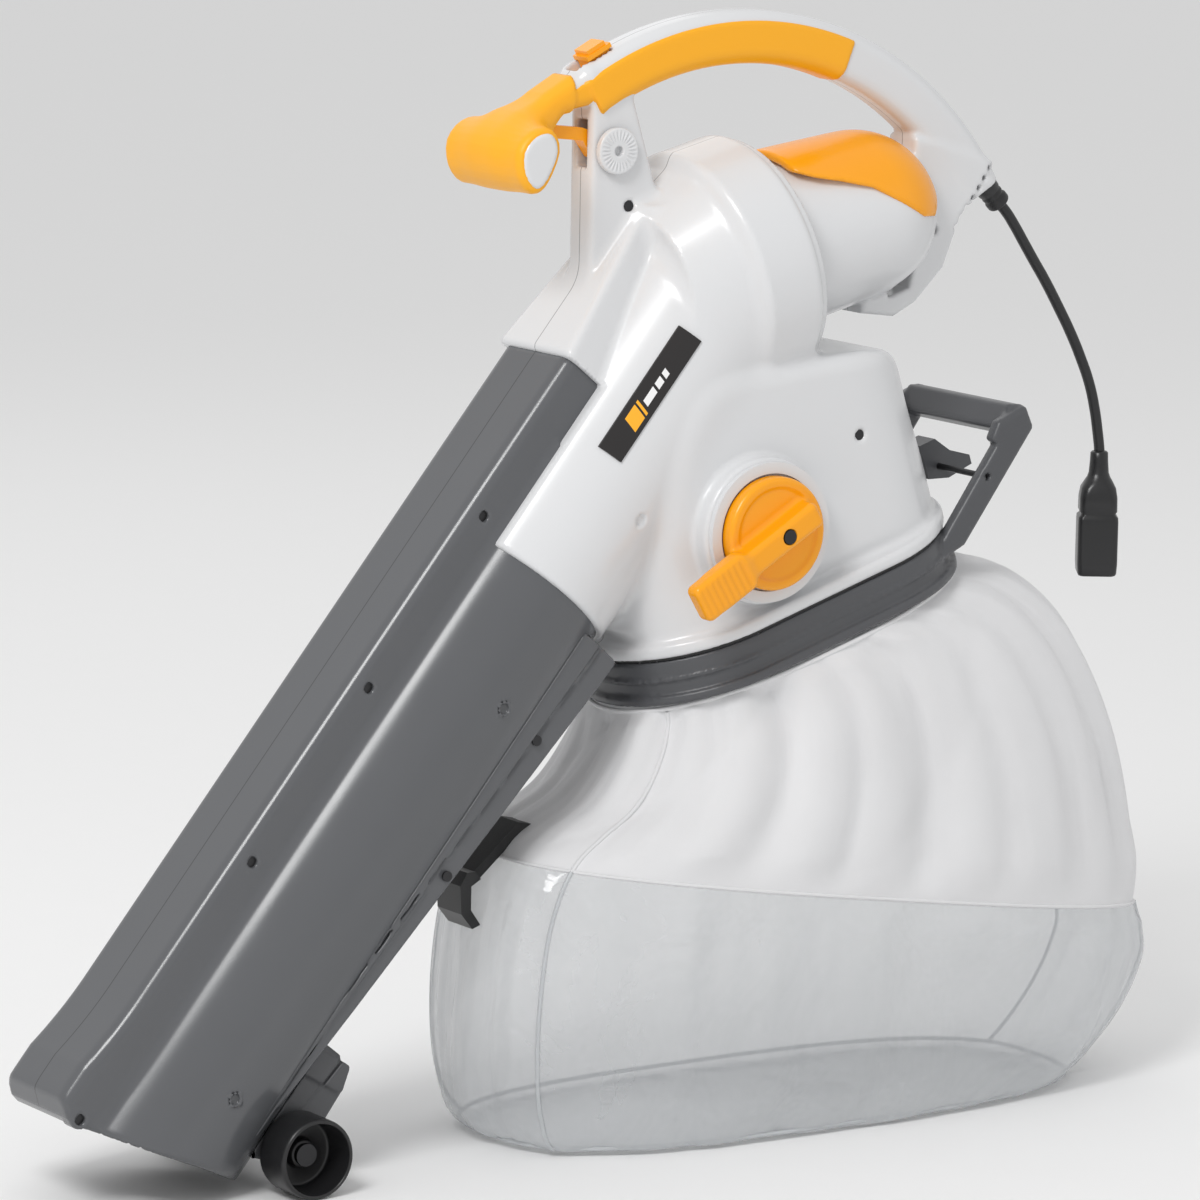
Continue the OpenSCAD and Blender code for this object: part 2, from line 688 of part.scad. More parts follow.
module bag_end(g) {
    rotate([90, 0, 90]) translate([0, 0, -200]) linear_extrude(800)
        polygon([[-bag_w / 2 + 14 + g, bag_floor - 1], [bag_w / 2 - 14 - g, bag_floor - 1],
                 [bag_w / 2 - g, 30], [bag_w / 2 - g, 170], [mouth_b - 4 - g, 268], [mouth_b - 4 - g, 360],
                 [-mouth_b + 4 + g, 360], [-mouth_b + 4 + g, 268], [-bag_w / 2 + g, 170],
                 [-bag_w / 2 + g, 30]]);
}
// the bag seen from above, with its corners cut off
module bag_plan() {
    x0 = bag_mid - bag_len / 2;
    x1 = bag_mid + bag_len / 2;
    y1 = bag_w / 2;
    polygon([[x0, -y1 / 2], [x0 + 70, -y1], [x1 - 80, -y1], [x1, -y1 / 2],
             [x1, y1 / 2], [x1 - 80, y1], [x0 + 70, y1], [x0, y1 / 2]]);
}
module bag_solid() {
    difference() {
        intersection() {
            slab(-bag_w / 2, bag_w / 2) bag_side(0);
            bag_end(0);
            translate([0, 0, -10]) linear_extrude(400) bag_plan();
        }
        in_mouth() translate([-300, -200, -gap]) cube([700, 400, 200]);
    }
}
module bag_cloth() {
    color(white) intersection() {
        bag_solid();
        translate([-200, -200, seam_z + gap / 2]) cube([900, 400, 400]);
    }
}
module bag_window() {
    color(vinyl) intersection() {
        bag_solid();
        translate([-200, -200, -10]) cube([900, 400, seam_z + 10 - gap / 2]);
    }
}
module bag_strap() {
    color(black) difference() {
        slab(-12, 12) polygon([[-10, 186], [-8, 192], [-66, 204], [-98, 176], [-94, 171], [-65, 196]]);
        bag_solid();
    }
}
module strap_buckle() {
    color(black) slab(-14, 14) polygon([[-98, 176], [-104, 176], [-109, 168], [-108, 150], [-100, 140], [-94, 142],
                                        [-101, 152], [-101, 167], [-94, 171]]);
}
module bag_latch() {
    color(grey) difference() {
        slab(-9, 9) polygon([[238, 420], [246, 398], [262, 398], [280, 406], [278, 412], [262, 416], [250, 424]]);
        across(latch_at[0], latch_at[2], -12, 12, latch_pin_r + run);
    }
}
module latch_pin() { color(steel) across(latch_at[0], latch_at[2], 4 - bail_half, bail_half - 4, latch_pin_r); }

place() housing_left();
place() housing_right();
place() tube_left();
place() tube_right();
place() tube_rail();
place() tube_screws();
place() housing_screws();
place() motor_cover();
place() grip_left();
place() grip_right();
place() cross_grip();
place() label_plate();
place() knob_bezel();
place() intake_guard();
place() diffuser_plate();
place() stator_core();
place() field_coils();
place() brush_holders();
place() carbon_brushes();
place() front_bearing();
place() rear_bearing();
place() motor_shaft();
place() armature_core();
place() armature_winding();
place() commutator();
place() cooling_fan();
place() impeller();
place() impeller_nut();
place() switch_unit();
place() capacitor();
place() internal_lead();
place() cord_clamp();
place() strain_relief();
place() cord();
place() plug_body();
place() plug_blades();
place() wheel_carriage();
place() wheel_axle();
place() axle_screws();
place() wheel_left();
place() wheel_right();
place() selector_knob();
place() selector_screw();
place() selector_shaft();
place() selector_flap();
place() power_slider();
place() lock_lever();
place() lock_pin();
place() bag_seal();
place() bag_frame();
place() bag_handle();
place() bag_cloth();
place() bag_window();
place() bag_strap();
place() strap_buckle();
place() bag_latch();
place() latch_pin();
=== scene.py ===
import math
import bmesh
import bpy
import numpy as np
from mathutils import Matrix, Vector


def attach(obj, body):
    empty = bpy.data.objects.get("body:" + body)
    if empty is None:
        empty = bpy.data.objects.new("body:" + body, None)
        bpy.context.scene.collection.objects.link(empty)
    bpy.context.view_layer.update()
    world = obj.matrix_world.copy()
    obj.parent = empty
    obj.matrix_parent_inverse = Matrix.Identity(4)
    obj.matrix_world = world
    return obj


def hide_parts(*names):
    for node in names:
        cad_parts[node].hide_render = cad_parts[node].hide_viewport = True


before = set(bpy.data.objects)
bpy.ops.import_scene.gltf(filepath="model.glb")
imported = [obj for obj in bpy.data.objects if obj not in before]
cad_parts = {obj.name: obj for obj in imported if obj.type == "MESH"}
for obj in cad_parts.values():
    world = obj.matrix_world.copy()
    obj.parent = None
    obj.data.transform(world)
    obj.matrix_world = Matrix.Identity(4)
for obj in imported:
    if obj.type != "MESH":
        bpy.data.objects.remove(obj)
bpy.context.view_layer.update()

# Camera: level with the handle's foot, far off with a long lens, so the machine stays nearly undistorted.
view_turn = math.radians(-33.5)
view_rise = math.radians(9.5)
view_roll = math.radians(1.0)
look_at = Vector((-0.0039, 0.0, 0.337))
distance = 4.0
back = Vector((math.sin(view_turn) * math.cos(view_rise), -math.cos(view_turn) * math.cos(view_rise),
               math.sin(view_rise)))
level = Vector((math.cos(view_turn), math.sin(view_turn), 0.0))
upward = back.cross(level)
right = level * math.cos(view_roll) + upward * math.sin(view_roll)
upward = back.cross(right)
camera_data = bpy.data.cameras.new("camera")
camera_data.lens = 192.0
camera_data.sensor_width = 36.0
camera_data.clip_end = 50.0
camera = bpy.data.objects.new("camera", camera_data)
camera.matrix_world = Matrix.Translation(look_at + back * distance) @ Matrix(
    (right, upward, back)).transposed().to_4x4()
bpy.context.scene.collection.objects.link(camera)
bpy.context.scene.camera = camera

# ---------------------------------------------------------------- mains lead
# A short rubber-sheathed flex that leaves the heel of the handle and is moulded straight into its plug.
# It is extruded in one length; stiff enough to fall in one slow curve.
MM = 0.001
SHIFT = -0.0039


def at(x, y, z):
    """A point of the machine, in metres, from millimetres measured in the workshop drawing."""
    return Vector((x * MM + SHIFT, y * MM, z * MM))


def finish_of(name, colour, rough, grain=0.12, grain_size=1400.0, mottle=0.04, metal=0.0, coat=0.0):
    """A moulded or machined surface: fine grain, slightly uneven gloss and a faint unevenness of colour."""
    made = bpy.data.materials.new(name)
    made.use_nodes = True
    nodes, links = made.node_tree.nodes, made.node_tree.links
    shader = nodes["Principled BSDF"]
    shader.inputs["Metallic"].default_value = metal
    shader.inputs["Coat Weight"].default_value = coat
    shader.inputs["Coat Roughness"].default_value = 0.15
    place = nodes.new("ShaderNodeTexCoord")
    cloud = nodes.new("ShaderNodeTexNoise")
    cloud.inputs["Scale"].default_value = 28.0
    cloud.inputs["Detail"].default_value = 4.0
    links.new(place.outputs["Object"], cloud.inputs["Vector"])
    tint = nodes.new("ShaderNodeMix")
    tint.name = "tint"
    tint.data_type = "RGBA"
    tint.inputs["A"].default_value = (*[c * (1 - mottle) for c in colour], 1)
    tint.inputs["B"].default_value = (*[min(1, c * (1 + mottle)) for c in colour], 1)
    links.new(cloud.outputs["Fac"], tint.inputs["Factor"])
    links.new(tint.outputs["Result"], shader.inputs["Base Color"])
    gloss = nodes.new("ShaderNodeMapRange")
    gloss.inputs["To Min"].default_value = max(0.02, rough - 0.05)
    gloss.inputs["To Max"].default_value = rough + 0.05
    links.new(cloud.outputs["Fac"], gloss.inputs["Value"])
    links.new(gloss.outputs["Result"], shader.inputs["Roughness"])
    fine = nodes.new("ShaderNodeTexNoise")
    fine.inputs["Scale"].default_value = grain_size
    fine.inputs["Detail"].default_value = 2.0
    links.new(place.outputs["Object"], fine.inputs["Vector"])
    bump = nodes.new("ShaderNodeBump")
    bump.name = "bump"
    bump.inputs["Strength"].default_value = grain
    bump.inputs["Distance"].default_value = 0.0002
    links.new(fine.outputs["Fac"], bump.inputs["Height"])
    links.new(bump.outputs["Normal"], shader.inputs["Normal"])
    return made


rubber_black = finish_of("rubber_black", (0.012, 0.012, 0.013), 0.42, grain=0.2)
lead_route = [(303, 573), (309, 567), (316, 558), (324, 546.5), (332, 535), (342, 521), (353, 504),
              (364, 486), (373, 469), (381, 451), (386, 434), (389, 419), (391, 406), (391.5, 398)]
lead_line = bpy.data.curves.new("lead", "CURVE")
lead_line.dimensions = "3D"
lead_line.bevel_depth = 3.5 * MM
lead_line.bevel_resolution = 6
lead_line.resolution_u = 10
lead_line.use_fill_caps = True
spline = lead_line.splines.new("BEZIER")
spline.bezier_points.add(len(lead_route) - 1)
for knot, (x, z) in zip(spline.bezier_points, lead_route):
    knot.co = at(x, 0, z)
    knot.handle_left_type = knot.handle_right_type = "AUTO"
lead = bpy.data.objects.new("lead", lead_line)
bpy.context.scene.collection.objects.link(lead)
lead_line.materials.append(rubber_black)
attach(lead, "machine")
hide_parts("cord")


def skin(name, points, faces, material, body, smooth=True, replaced=()):
    """A piece from its points in metres and its faces, with finish and body set."""
    mesh = bpy.data.meshes.new(name)
    mesh.from_pydata([tuple(p) for p in points], [], faces)
    mesh.validate()
    mesh.materials.append(material)
    if smooth:
        mesh.shade_smooth()
    piece = bpy.data.objects.new(name, mesh)
    bpy.context.scene.collection.objects.link(piece)
    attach(piece, body)
    if replaced:
        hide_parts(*replaced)
    return piece


# ---------------------------------------------------------------- plug
# The moulded plug: a square rubber body with a waisted neck, softened edges and a flat working face.
# It is cast in one shot round the brass blades.
def stack(levels, turn, centre):
    """Points of rounded-square rings, one per level (height, half side, corner radius), all turned alike."""
    rings = []
    for height, half, corner in levels:
        for quarter in range(4):
            for i in range(7):
                a = math.radians(90 * quarter + 15 * i)
                cx = (half - corner) * (1 if quarter in (0, 3) else -1)
                cy = (half - corner) * (1 if quarter in (0, 1) else -1)
                x, y = cx + corner * math.cos(a), cy + corner * math.sin(a)
                rings.append(at(centre[0] + x * math.cos(turn) - y * math.sin(turn),
                                x * math.sin(turn) + y * math.cos(turn), centre[1] + height))
    return rings


def ring_faces(count, around, close=True):
    """Quads between rings of points laid one after another, with both ends closed."""
    faces = [(r * around + i, r * around + (i + 1) % around, (r + 1) * around + (i + 1) % around,
              (r + 1) * around + i) for r in range(count - 1) for i in range(around)]
    if close:
        faces += [tuple(range(around - 1, -1, -1)), tuple((count - 1) * around + i for i in range(around))]
    return faces


plug_levels = [(-82, 11.0, 3.0), (-81.4, 12.2, 3.2), (-80, 12.8, 3.5), (-74, 13.2, 3.5), (-46, 13.2, 3.5),
               (-43, 13.0, 3.5), (-41.5, 11.6, 3.6), (-40.5, 11.4, 3.6), (-39, 12.4, 4.0), (-30, 12.3, 5.0),
               (-24, 11.4, 6.5), (-20, 9.4, 7.5), (-17, 7.6, 7.0), (-14, 6.6, 6.4), (-6, 6.0, 5.9),
               (-1, 5.8, 5.7), (0, 4.8, 4.7)]
plug_turn = math.radians(-33.5)
plug = skin("plug", stack(plug_levels, plug_turn, (391, 406)), ring_faces(len(plug_levels), 28),
            finish_of("plug_rubber", (0.012, 0.012, 0.013), 0.3, grain=0.1), "machine",
            replaced=("plug_body",))


# ---------------------------------------------------------------- lead boot
# The tapered rubber boot that keeps the lead from kinking at the handle. It is moulded onto the sheath and
# ribbed like a concertina near its tip.
def lathe(name, profile, start, along, material, body, around=48, replaced=()):
    """A turned piece: profile is (distance along, radius), spun about the line that leaves start."""
    along = Vector(along).normalized()
    side = along.cross(Vector((0, 1, 0)))
    side = Vector((1, 0, 0)) if side.length < 0.1 else side.normalized()
    other = along.cross(side)
    spokes = [side * math.cos(2 * math.pi * i / around) + other * math.sin(2 * math.pi * i / around)
              for i in range(around)]
    points = [start + along * (t * MM) + spoke * (max(r, 0.05) * MM) for t, r in profile for spoke in spokes]
    return skin(name, points, ring_faces(len(profile), around), material, body, replaced=replaced)


boot_profile = [(-42, 5.0), (-41, 5.9), (-27, 5.9), (-26, 8.3), (-24, 8.8), (-12, 7.6), (-11, 6.8),
                (-10, 6.8), (-9, 7.3), (-8, 7.3), (-7, 6.5), (-6, 6.5), (-5, 7.4), (-4.2, 7.8),
                (-1, 7.8), (-0.2, 7.4), (0, 6.6), (0, 3.4)]
lathe("lead_boot", boot_profile, at(303, 0, 573), (0.7071, 0, -0.7071), rubber_black,
      "machine", replaced=("strain_relief",))

# ---------------------------------------------------------------- motor, fan and switch gear
# The universal motor, its bearings, brushes and fan, and the electrical parts in the handle: bought-in or
# pressed pieces, fixed inside the housing halves and seen only when the machine is opened.
def repaint(names, material):
    """Gives drawn pieces that keep their shape their finish."""
    for name in names:
        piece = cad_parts[name]
        piece.data.materials.clear()
        piece.data.materials.append(material)


zinc = finish_of("zinc_steel", (0.55, 0.56, 0.58), 0.32, grain=0.08, metal=1.0)
copper_wire = finish_of("copper_wire", (0.62, 0.26, 0.11), 0.4, grain=0.6, grain_size=500.0, metal=0.8)
black_moulding = finish_of("black_moulding", (0.014, 0.014, 0.015), 0.38, grain=0.12)
dark_moulding = finish_of("dark_moulding", (0.04, 0.041, 0.043), 0.45, grain=0.15)
repaint(["motor_shaft", "front_bearing", "rear_bearing", "impeller_nut", "lock_pin", "wheel_axle",
         "selector_shaft"], zinc)
lamination = finish_of("lamination", (0.22, 0.22, 0.23), 0.5, grain=0.5, metal=0.9)
repaint(["stator_core", "armature_core"], lamination)
repaint(["field_coils", "armature_winding", "commutator"], copper_wire)
repaint(["carbon_brushes"], finish_of("pressed_carbon", (0.02, 0.02, 0.02), 0.6, grain=0.3))
repaint(["impeller", "diffuser_plate", "intake_guard", "brush_holders", "cooling_fan", "selector_flap"],
        dark_moulding)
repaint(["switch_unit", "capacitor", "cord_clamp"], black_moulding)
repaint(["internal_lead"], rubber_black)
repaint(["plug_blades"], finish_of("brass_blade", (0.75, 0.56, 0.24), 0.3, grain=0.08, metal=1.0))
repaint(["bag_seal"], finish_of("seal_rubber", (0.02, 0.02, 0.02), 0.6, grain=0.3))

# ---------------------------------------------------------------- motor housing
# Two white moulded halves that carry everything: tube collar, fan drum, motor barrel, outlet, handle core.
# They are injected in glossy ABS, split along the middle and screwed together.
def turned(x, z, origin, degrees):
    """Coordinates along and above a line through origin that rises by degrees."""
    c, s = math.cos(math.radians(degrees)), math.sin(math.radians(degrees))
    return (x - origin[0]) * c + (z - origin[1]) * s, (z - origin[1]) * c - (x - origin[0]) * s


def join(a, b, soft=0.0):
    """Both bodies together; soft is the size of the fillet where they meet."""
    if soft <= 0:
        return np.minimum(a, b)
    h = np.clip(0.5 + 0.5 * (b - a) / soft, 0, 1)
    return b * (1 - h) + a * h - soft * h * (1 - h)


def cut(a, b, soft=0.0):
    """The first shape with the second taken away, the edge softened."""
    return -join(-a, b, soft)


def common(a, b, soft=0.0):
    """Where both shapes are, the edge softened."""
    return -join(-a, -b, soft)


def meet(p, q, r):
    """Where two bodies overlap, with the edge between them rounded to radius r."""
    return np.minimum(np.maximum(p + r, q + r), 0) + np.hypot(np.maximum(p + r, 0), np.maximum(q + r, 0)) - r


def drum(t, rho, t0, t1, radius, r):
    """A disc or rod of that radius from t0 to t1, with its rims rounded."""
    return meet(np.abs(t - (t0 + t1) / 2) - (t1 - t0) / 2, rho - radius, r)


def block(u, v, w, low, high, r):
    """A box with rounded edges."""
    q = [np.abs(a - (l + h) / 2) - (h - l) / 2 + r for a, l, h in zip((u, v, w), low, high)]
    out = np.sqrt(sum(np.maximum(a, 0) ** 2 for a in q))
    return out + np.minimum(np.maximum(np.maximum(q[0], q[1]), q[2]), 0) - r


def outline(u, v, points):
    """Distance from a closed outline, negative inside."""
    near, side = None, None
    for i in range(len(points)):
        ax, ay = points[i]
        bx, by = points[i - 1]
        ex, ey = bx - ax, by - ay
        wx, wy = u - ax, v - ay
        t = np.clip((wx * ex + wy * ey) / (ex * ex + ey * ey), 0, 1)
        d = (wx - ex * t) ** 2 + (wy - ey * t) ** 2
        up, down, left = v >= ay, v < by, ex * wy > ey * wx
        flip = np.where((up & down & left) | ~(up | down | left), -1.0, 1.0)
        near = d if near is None else np.minimum(near, d)
        side = flip if side is None else side * flip
    return side * np.sqrt(near)


def prism(u, v, w, points, half, r, grow=0.0):
    """An outline given thickness, its rims rounded to r; grow also rounds the corners of the outline."""
    return meet(outline(u, v, points) - grow, np.abs(w) - half, r)


def blend(p, t):
    """A point between the middle two of four, at the share t of the way, on a smooth curve through them."""
    return 0.5 * (2 * p[1] + (p[2] - p[0]) * t + (2 * p[0] - 5 * p[1] + 4 * p[2] - p[3]) * t * t
                  + (3 * p[1] - p[0] - 3 * p[2] + p[3]) * t ** 3)


def flowing(points, steps=6):
    """A smooth closed line through the points."""
    n, line = len(points), []
    for i in range(n):
        p = [np.array(points[(i + k) % n], float) for k in (-1, 0, 1, 2)]
        for s in range(steps):
            t = s / steps
            line.append(tuple(blend(p, t)))
    return line


def oval(u, v, a, b):
    """Distance from a flat-sided oval of half length a and half width b."""
    return np.hypot(np.maximum(np.abs(u) - (a - b), 0), v) - b


def moulded(name, field, low, high, step, material, body, replaced=(), tilt=None):
    """Casts the body described by field: finds its surface on a grid, then draws every point onto it.
    tilt = (origin, rise) lays the grid, and field's own axes, along a sloping line."""
    axes = [np.arange(l, h + step, step, dtype=float) for l, h in zip(low, high)]
    shape = tuple(len(a) for a in axes)
    value = field(axes[0][:, None, None], axes[1][None, :, None], axes[2][None, None, :])
    value = np.broadcast_to(value, shape).astype(np.float32)
    inside = value < 0
    corners = [(i, j, k) for i in (0, 1) for j in (0, 1) for k in (0, 1)]
    count = np.zeros(tuple(n - 1 for n in shape), np.int8)
    for i, j, k in corners:
        count += inside[i:shape[0] - 1 + i, j:shape[1] - 1 + j, k:shape[2] - 1 + k]
    live = (count > 0) & (count < 8)
    cell = np.argwhere(live)
    number = np.full(live.shape, -1, np.int64)
    number[live] = np.arange(len(cell))
    held = {c: value[cell[:, 0] + c[0], cell[:, 1] + c[1], cell[:, 2] + c[2]] for c in corners}
    total, hits = np.zeros((len(cell), 3)), np.zeros(len(cell))
    for c in corners:
        for axis in range(3):
            if c[axis] == 0:
                d = tuple(v + (n == axis) for n, v in enumerate(c))
                a, b = held[c], held[d]
                crossed = (a < 0) != (b < 0)
                t = np.where(crossed, a / np.where(crossed, a - b, 1), 0)
                point = np.array(c, float)[None, :] + np.eye(3)[axis][None, :] * t[:, None]
                total += point * crossed[:, None]
                hits += crossed
    place = np.array(low, float) + (cell + total / hits[:, None]) * step
    faces = []
    for axis in range(3):
        a, b = [n for n in range(3) if n != axis]
        first = [slice(None)] * 3
        second = [slice(None)] * 3
        first[axis], second[axis] = slice(0, -1), slice(1, None)
        change = inside[tuple(first)] != inside[tuple(second)]
        at_edge = np.argwhere(change)
        at_edge = at_edge[(at_edge[:, a] > 0) & (at_edge[:, b] > 0) & (at_edge[:, a] < shape[a] - 1)
                          & (at_edge[:, b] < shape[b] - 1)]
        starts_in = inside[at_edge[:, 0], at_edge[:, 1], at_edge[:, 2]]
        quad = []
        for da, db in ((1, 1), (0, 1), (0, 0), (1, 0)):
            step_back = np.zeros(3, int)
            step_back[a], step_back[b] = da, db
            c = at_edge - step_back
            quad.append(number[c[:, 0], c[:, 1], c[:, 2]])
        quad = np.stack(quad, 1)
        flip = starts_in if axis != 1 else ~starts_in
        quad[flip] = quad[flip][:, ::-1]
        faces.append(quad[:, ::-1])
    faces = np.concatenate(faces)
    faces = faces[(faces >= 0).all(1)]
    small = 0.05
    for _ in range(3):
        x, y, z = place.T
        f = field(x, y, z)
        slope = np.stack([field(x + small, y, z) - f, field(x, y + small, z) - f,
                          field(x, y, z + small) - f], 1) / small
        move = -f[:, None] * slope / np.maximum((slope ** 2).sum(1), 0.2)[:, None]
        length = np.linalg.norm(move, axis=1, keepdims=True)
        place += move * np.minimum(1, 0.5 * step / np.maximum(length, 1e-9))
    if tilt:
        c, s = math.cos(math.radians(tilt[1])), math.sin(math.radians(tilt[1]))
        place = np.stack([tilt[0][0] + place[:, 0] * c - place[:, 2] * s, place[:, 1],
                          tilt[0][1] + place[:, 0] * s + place[:, 2] * c], 1)
    place = place * MM + np.array([SHIFT, 0, 0])
    mesh = bpy.data.meshes.new(name)
    mesh.vertices.add(len(place))
    mesh.vertices.foreach_set("co", place.astype(np.float32).ravel())
    mesh.loops.add(4 * len(faces))
    mesh.loops.foreach_set("vertex_index", faces.astype(np.int32).ravel())
    mesh.polygons.add(len(faces))
    mesh.polygons.foreach_set("loop_start", np.arange(0, 4 * len(faces), 4, dtype=np.int32))
    mesh.update(calc_edges=True)
    mesh.materials.append(material)
    mesh.shade_smooth()
    piece = bpy.data.objects.new(name, mesh)
    bpy.context.scene.collection.objects.link(piece)
    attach(piece, body)
    if replaced:
        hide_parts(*replaced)
    return piece


NECK, FAN, MOUTH, ARCH, PIVOT = (-51, 496.3), (87, 543), (130, 312), (94, 470), (72, 386)
TUBE_RISE, FAN_RISE, MOUTH_RISE = 51, 15, 18
ARCH_R = 217
arm_line = [(-22, 668), (-50, 652), (-66, 638), (-76, 622), (-70, 618), (-57, 634), (-42, 648), (-19, 652)]
column_line = [(-17, 652), (-17, 524), (36, 524), (27, 592), (8, 652)]
leg_line = [(226, 619), (285, 601), (260, 566), (248, 536), (227, 515), (211, 507), (186, 510), (199, 558),
            (224, 590)]
leg_window = [(204, 527), (225, 545), (221, 525), (207, 520)]
outlet_line = flowing([(6, 312), (120, 350), (240, 386), (232, 412), (212, 440), (204, 458), (194, 484),
                       (160, 492), (90, 486), (30, 470), (6, 400)])
lock_slot = [(-40, 612), (4, 606), (4, 634), (-24, 640), (-40, 636)]
SLIDER_ANGLE = math.radians(118)
rib_line = [(283 - 4.1 * i, 598 - 6.2 * i) for i in range(7)]


def arch_of(x, y, z, half_d, half_w, r):
    rho = np.hypot(x - ARCH[0], z - ARCH[1]) - ARCH_R
    return meet(np.abs(rho) - half_d, np.abs(y) - half_w, r)


def between(x, z, low, high):
    """Less than zero between two angles round the centre of the handle arch."""
    a, b = math.radians(low), math.radians(high)
    dx, dz = x - ARCH[0], z - ARCH[1]
    return np.maximum(math.sin(a) * dx - math.cos(a) * dz, math.cos(b) * dz - math.sin(b) * dx)


def handle(x, y, z):
    """The arched handle, with the arm that reaches forward to the cross grip."""
    arch = common(arch_of(x, y, z, 16.2, 15.2, 9), between(x, z, 31, 121), 3)
    arm = prism(x, z, y, arm_line, 13.6, 7, 3)
    return join(arch, arm, 8)


def collar(x, y, z):
    """Collar over the top of the tube: round over the suction duct, a tapering box over the blowing duct."""
    t, u = turned(x, z, NECK, TUBE_RISE)
    round_part = drum(t, np.hypot(y, u + 78), -120, 96, 65.4, 3)
    round_part = cut(round_part, np.maximum(t - 2, -(u + 29)), 2)
    width = 40.5 - 0.21 * np.clip(t, 0, 110)
    box = meet(np.maximum(np.abs(y) - width, np.abs(t - 56) - 55.5), np.abs(u + 30) - 33.5, 4.5)
    return join(round_part, box, 2.5)


def motor_barrel(x, y, z, grow=0.0):
    t, u = turned(x, z, FAN, FAN_RISE)
    return np.sqrt(y * y + u * u + (t - np.clip(t, 0, 104)) ** 2) - 53 - grow


def housing(x, y, z):
    """Both white halves as one shape, in millimetres."""
    t, u = turned(x, z, FAN, FAN_RISE)
    rho = np.hypot(y, u)
    body = drum(t, rho, -22, 22, 80, 6)
    body = join(body, drum(t, rho, 20, 27, 76, 3), 2)
    funnel = np.maximum((rho - 74 - (t + 22) * 0.5) * 0.9, np.abs(t + 40) - 18)
    body = join(body, funnel, 7)
    body = join(body, collar(x, y, z), 11)
    body = join(body, motor_barrel(x, y, z), 7)
    m, n = turned(x, z, MOUTH, MOUTH_RISE)
    outlet = common(prism(x, z, y, outlet_line, 68, 12), oval(m, y, 128, 68), 8)
    body = join(body, outlet, 9)
    body = join(body, meet(oval(m, y, 132, 78), np.abs(n - 34.4) - 4, 2), 7)
    body = join(body, prism(x, z, y, column_line, 12.8, 3.5, 2.8), 7)
    body = join(body, prism(x, z, y, leg_line, 15.6, 3, 1), 5)
    body = join(body, handle(x, y, z), 5)
    knob_place = np.hypot(x - PIVOT[0], z - PIVOT[1])
    body = join(body, drum(y, knob_place, -78, -60, 46, 2.5), 4)
    body = join(body, drum(y, knob_place, 60, 72, 14, 2), 4)
    body = cut(body, prism(x, z, y, leg_window, 40, 0, 1.5), 2)
    for rx, rz in rib_line:
        body = cut(body, np.hypot(x - rx, z - rz) - 1.9, 1.2)
    # hollows: power slot, lock slot, screw wells, open underside
    slider = (ARCH[0] + ARCH_R * math.cos(SLIDER_ANGLE), ARCH[1] + ARCH_R * math.sin(SLIDER_ANGLE))
    s, v = turned(x, z, slider, 28)
    body = cut(body, block(s, y, v, (-14, -7, 4), (14, 7, 40), 1.5), 1)
    body = cut(body, prism(x, z, y, lock_slot, 5.8, 0), 1)
    for wx, wz, depth in ((-13, 397, 62), (150, 440, 62), (8, 585, 10), (240, 560, 10)):
        body = cut(body, np.maximum(np.hypot(x - wx, z - wz) - 3.6, y + depth), 0.8)
    inner = np.maximum(oval(m, y, 114, 58), n - 44)
    inner = join(inner, common(prism(x, z, y, outlet_line, 61, 12, -8), oval(m, y, 117, 60), 8), 2)
    return cut(body, np.maximum(inner, n - 120), 1.5)


def scored(made, axis, width=0.3, depth=0.55):
    """Adds the parting line where two moulded halves meet on the plane axis = 0."""
    nodes, links = made.node_tree.nodes, made.node_tree.links
    place = nodes.new("ShaderNodeTexCoord")
    split = nodes.new("ShaderNodeSeparateXYZ")
    links.new(place.outputs["Object"], split.inputs[0])
    size = nodes.new("ShaderNodeMath")
    size.operation = "ABSOLUTE"
    links.new(split.outputs[axis], size.inputs[0])
    line = nodes.new("ShaderNodeMapRange")
    line.inputs["From Min"].default_value = width * MM
    line.inputs["From Max"].default_value = width * MM * 1.6
    line.inputs["To Min"].default_value = 1 - depth
    line.inputs["To Max"].default_value = 1.0
    links.new(size.outputs[0], line.inputs["Value"])
    dim = nodes.new("ShaderNodeVectorMath")
    dim.operation = "SCALE"
    tint = nodes["tint"]
    links.new(tint.outputs["Result"], dim.inputs[0])
    links.new(line.outputs["Result"], dim.inputs["Scale"])
    links.new(dim.outputs["Vector"], nodes["Principled BSDF"].inputs["Base Color"])
    return made


white_abs = scored(finish_of("white_abs", (0.67, 0.675, 0.685), 0.22, grain=0.05, mottle=0.008), "Y")
moulded("motor_housing", housing, (-116, -84, 286), (302, 84, 712), 2.0, white_abs, "machine",
        replaced=("housing_left", "housing_right"))


# ---------------------------------------------------------------- pivot rosette
# A round white boss with fine teeth on the near side of the handle column, where the arm of the cross grip
# is clamped. It is moulded with the housing.
ROSETTE = (-3.8, 619.9)


def rosette(x, y, z):
    """The toothed boss."""
    dx, dz = x - ROSETTE[0], z - ROSETTE[1]
    rho = np.hypot(dx, dz)
    band = np.clip((rho - 6) / 2, 0, 1) * np.clip((13 - rho) / 1.5, 0, 1)
    teeth = 0.45 * np.cos(26 * np.arctan2(dz, dx)) * band
    body = drum(y, rho, -18.8, -14, 14.4, 1.0) + teeth * np.clip((-17 - y) / 1, 0, 1)
    return cut(body, np.maximum(rho - 3.1, y + 14.8), 0.5)


moulded("pivot_rosette", rosette, (ROSETTE[0] - 17, -21, ROSETTE[1] - 17),
        (ROSETTE[0] + 17, -12, ROSETTE[1] + 17), 0.7, white_abs, "machine")


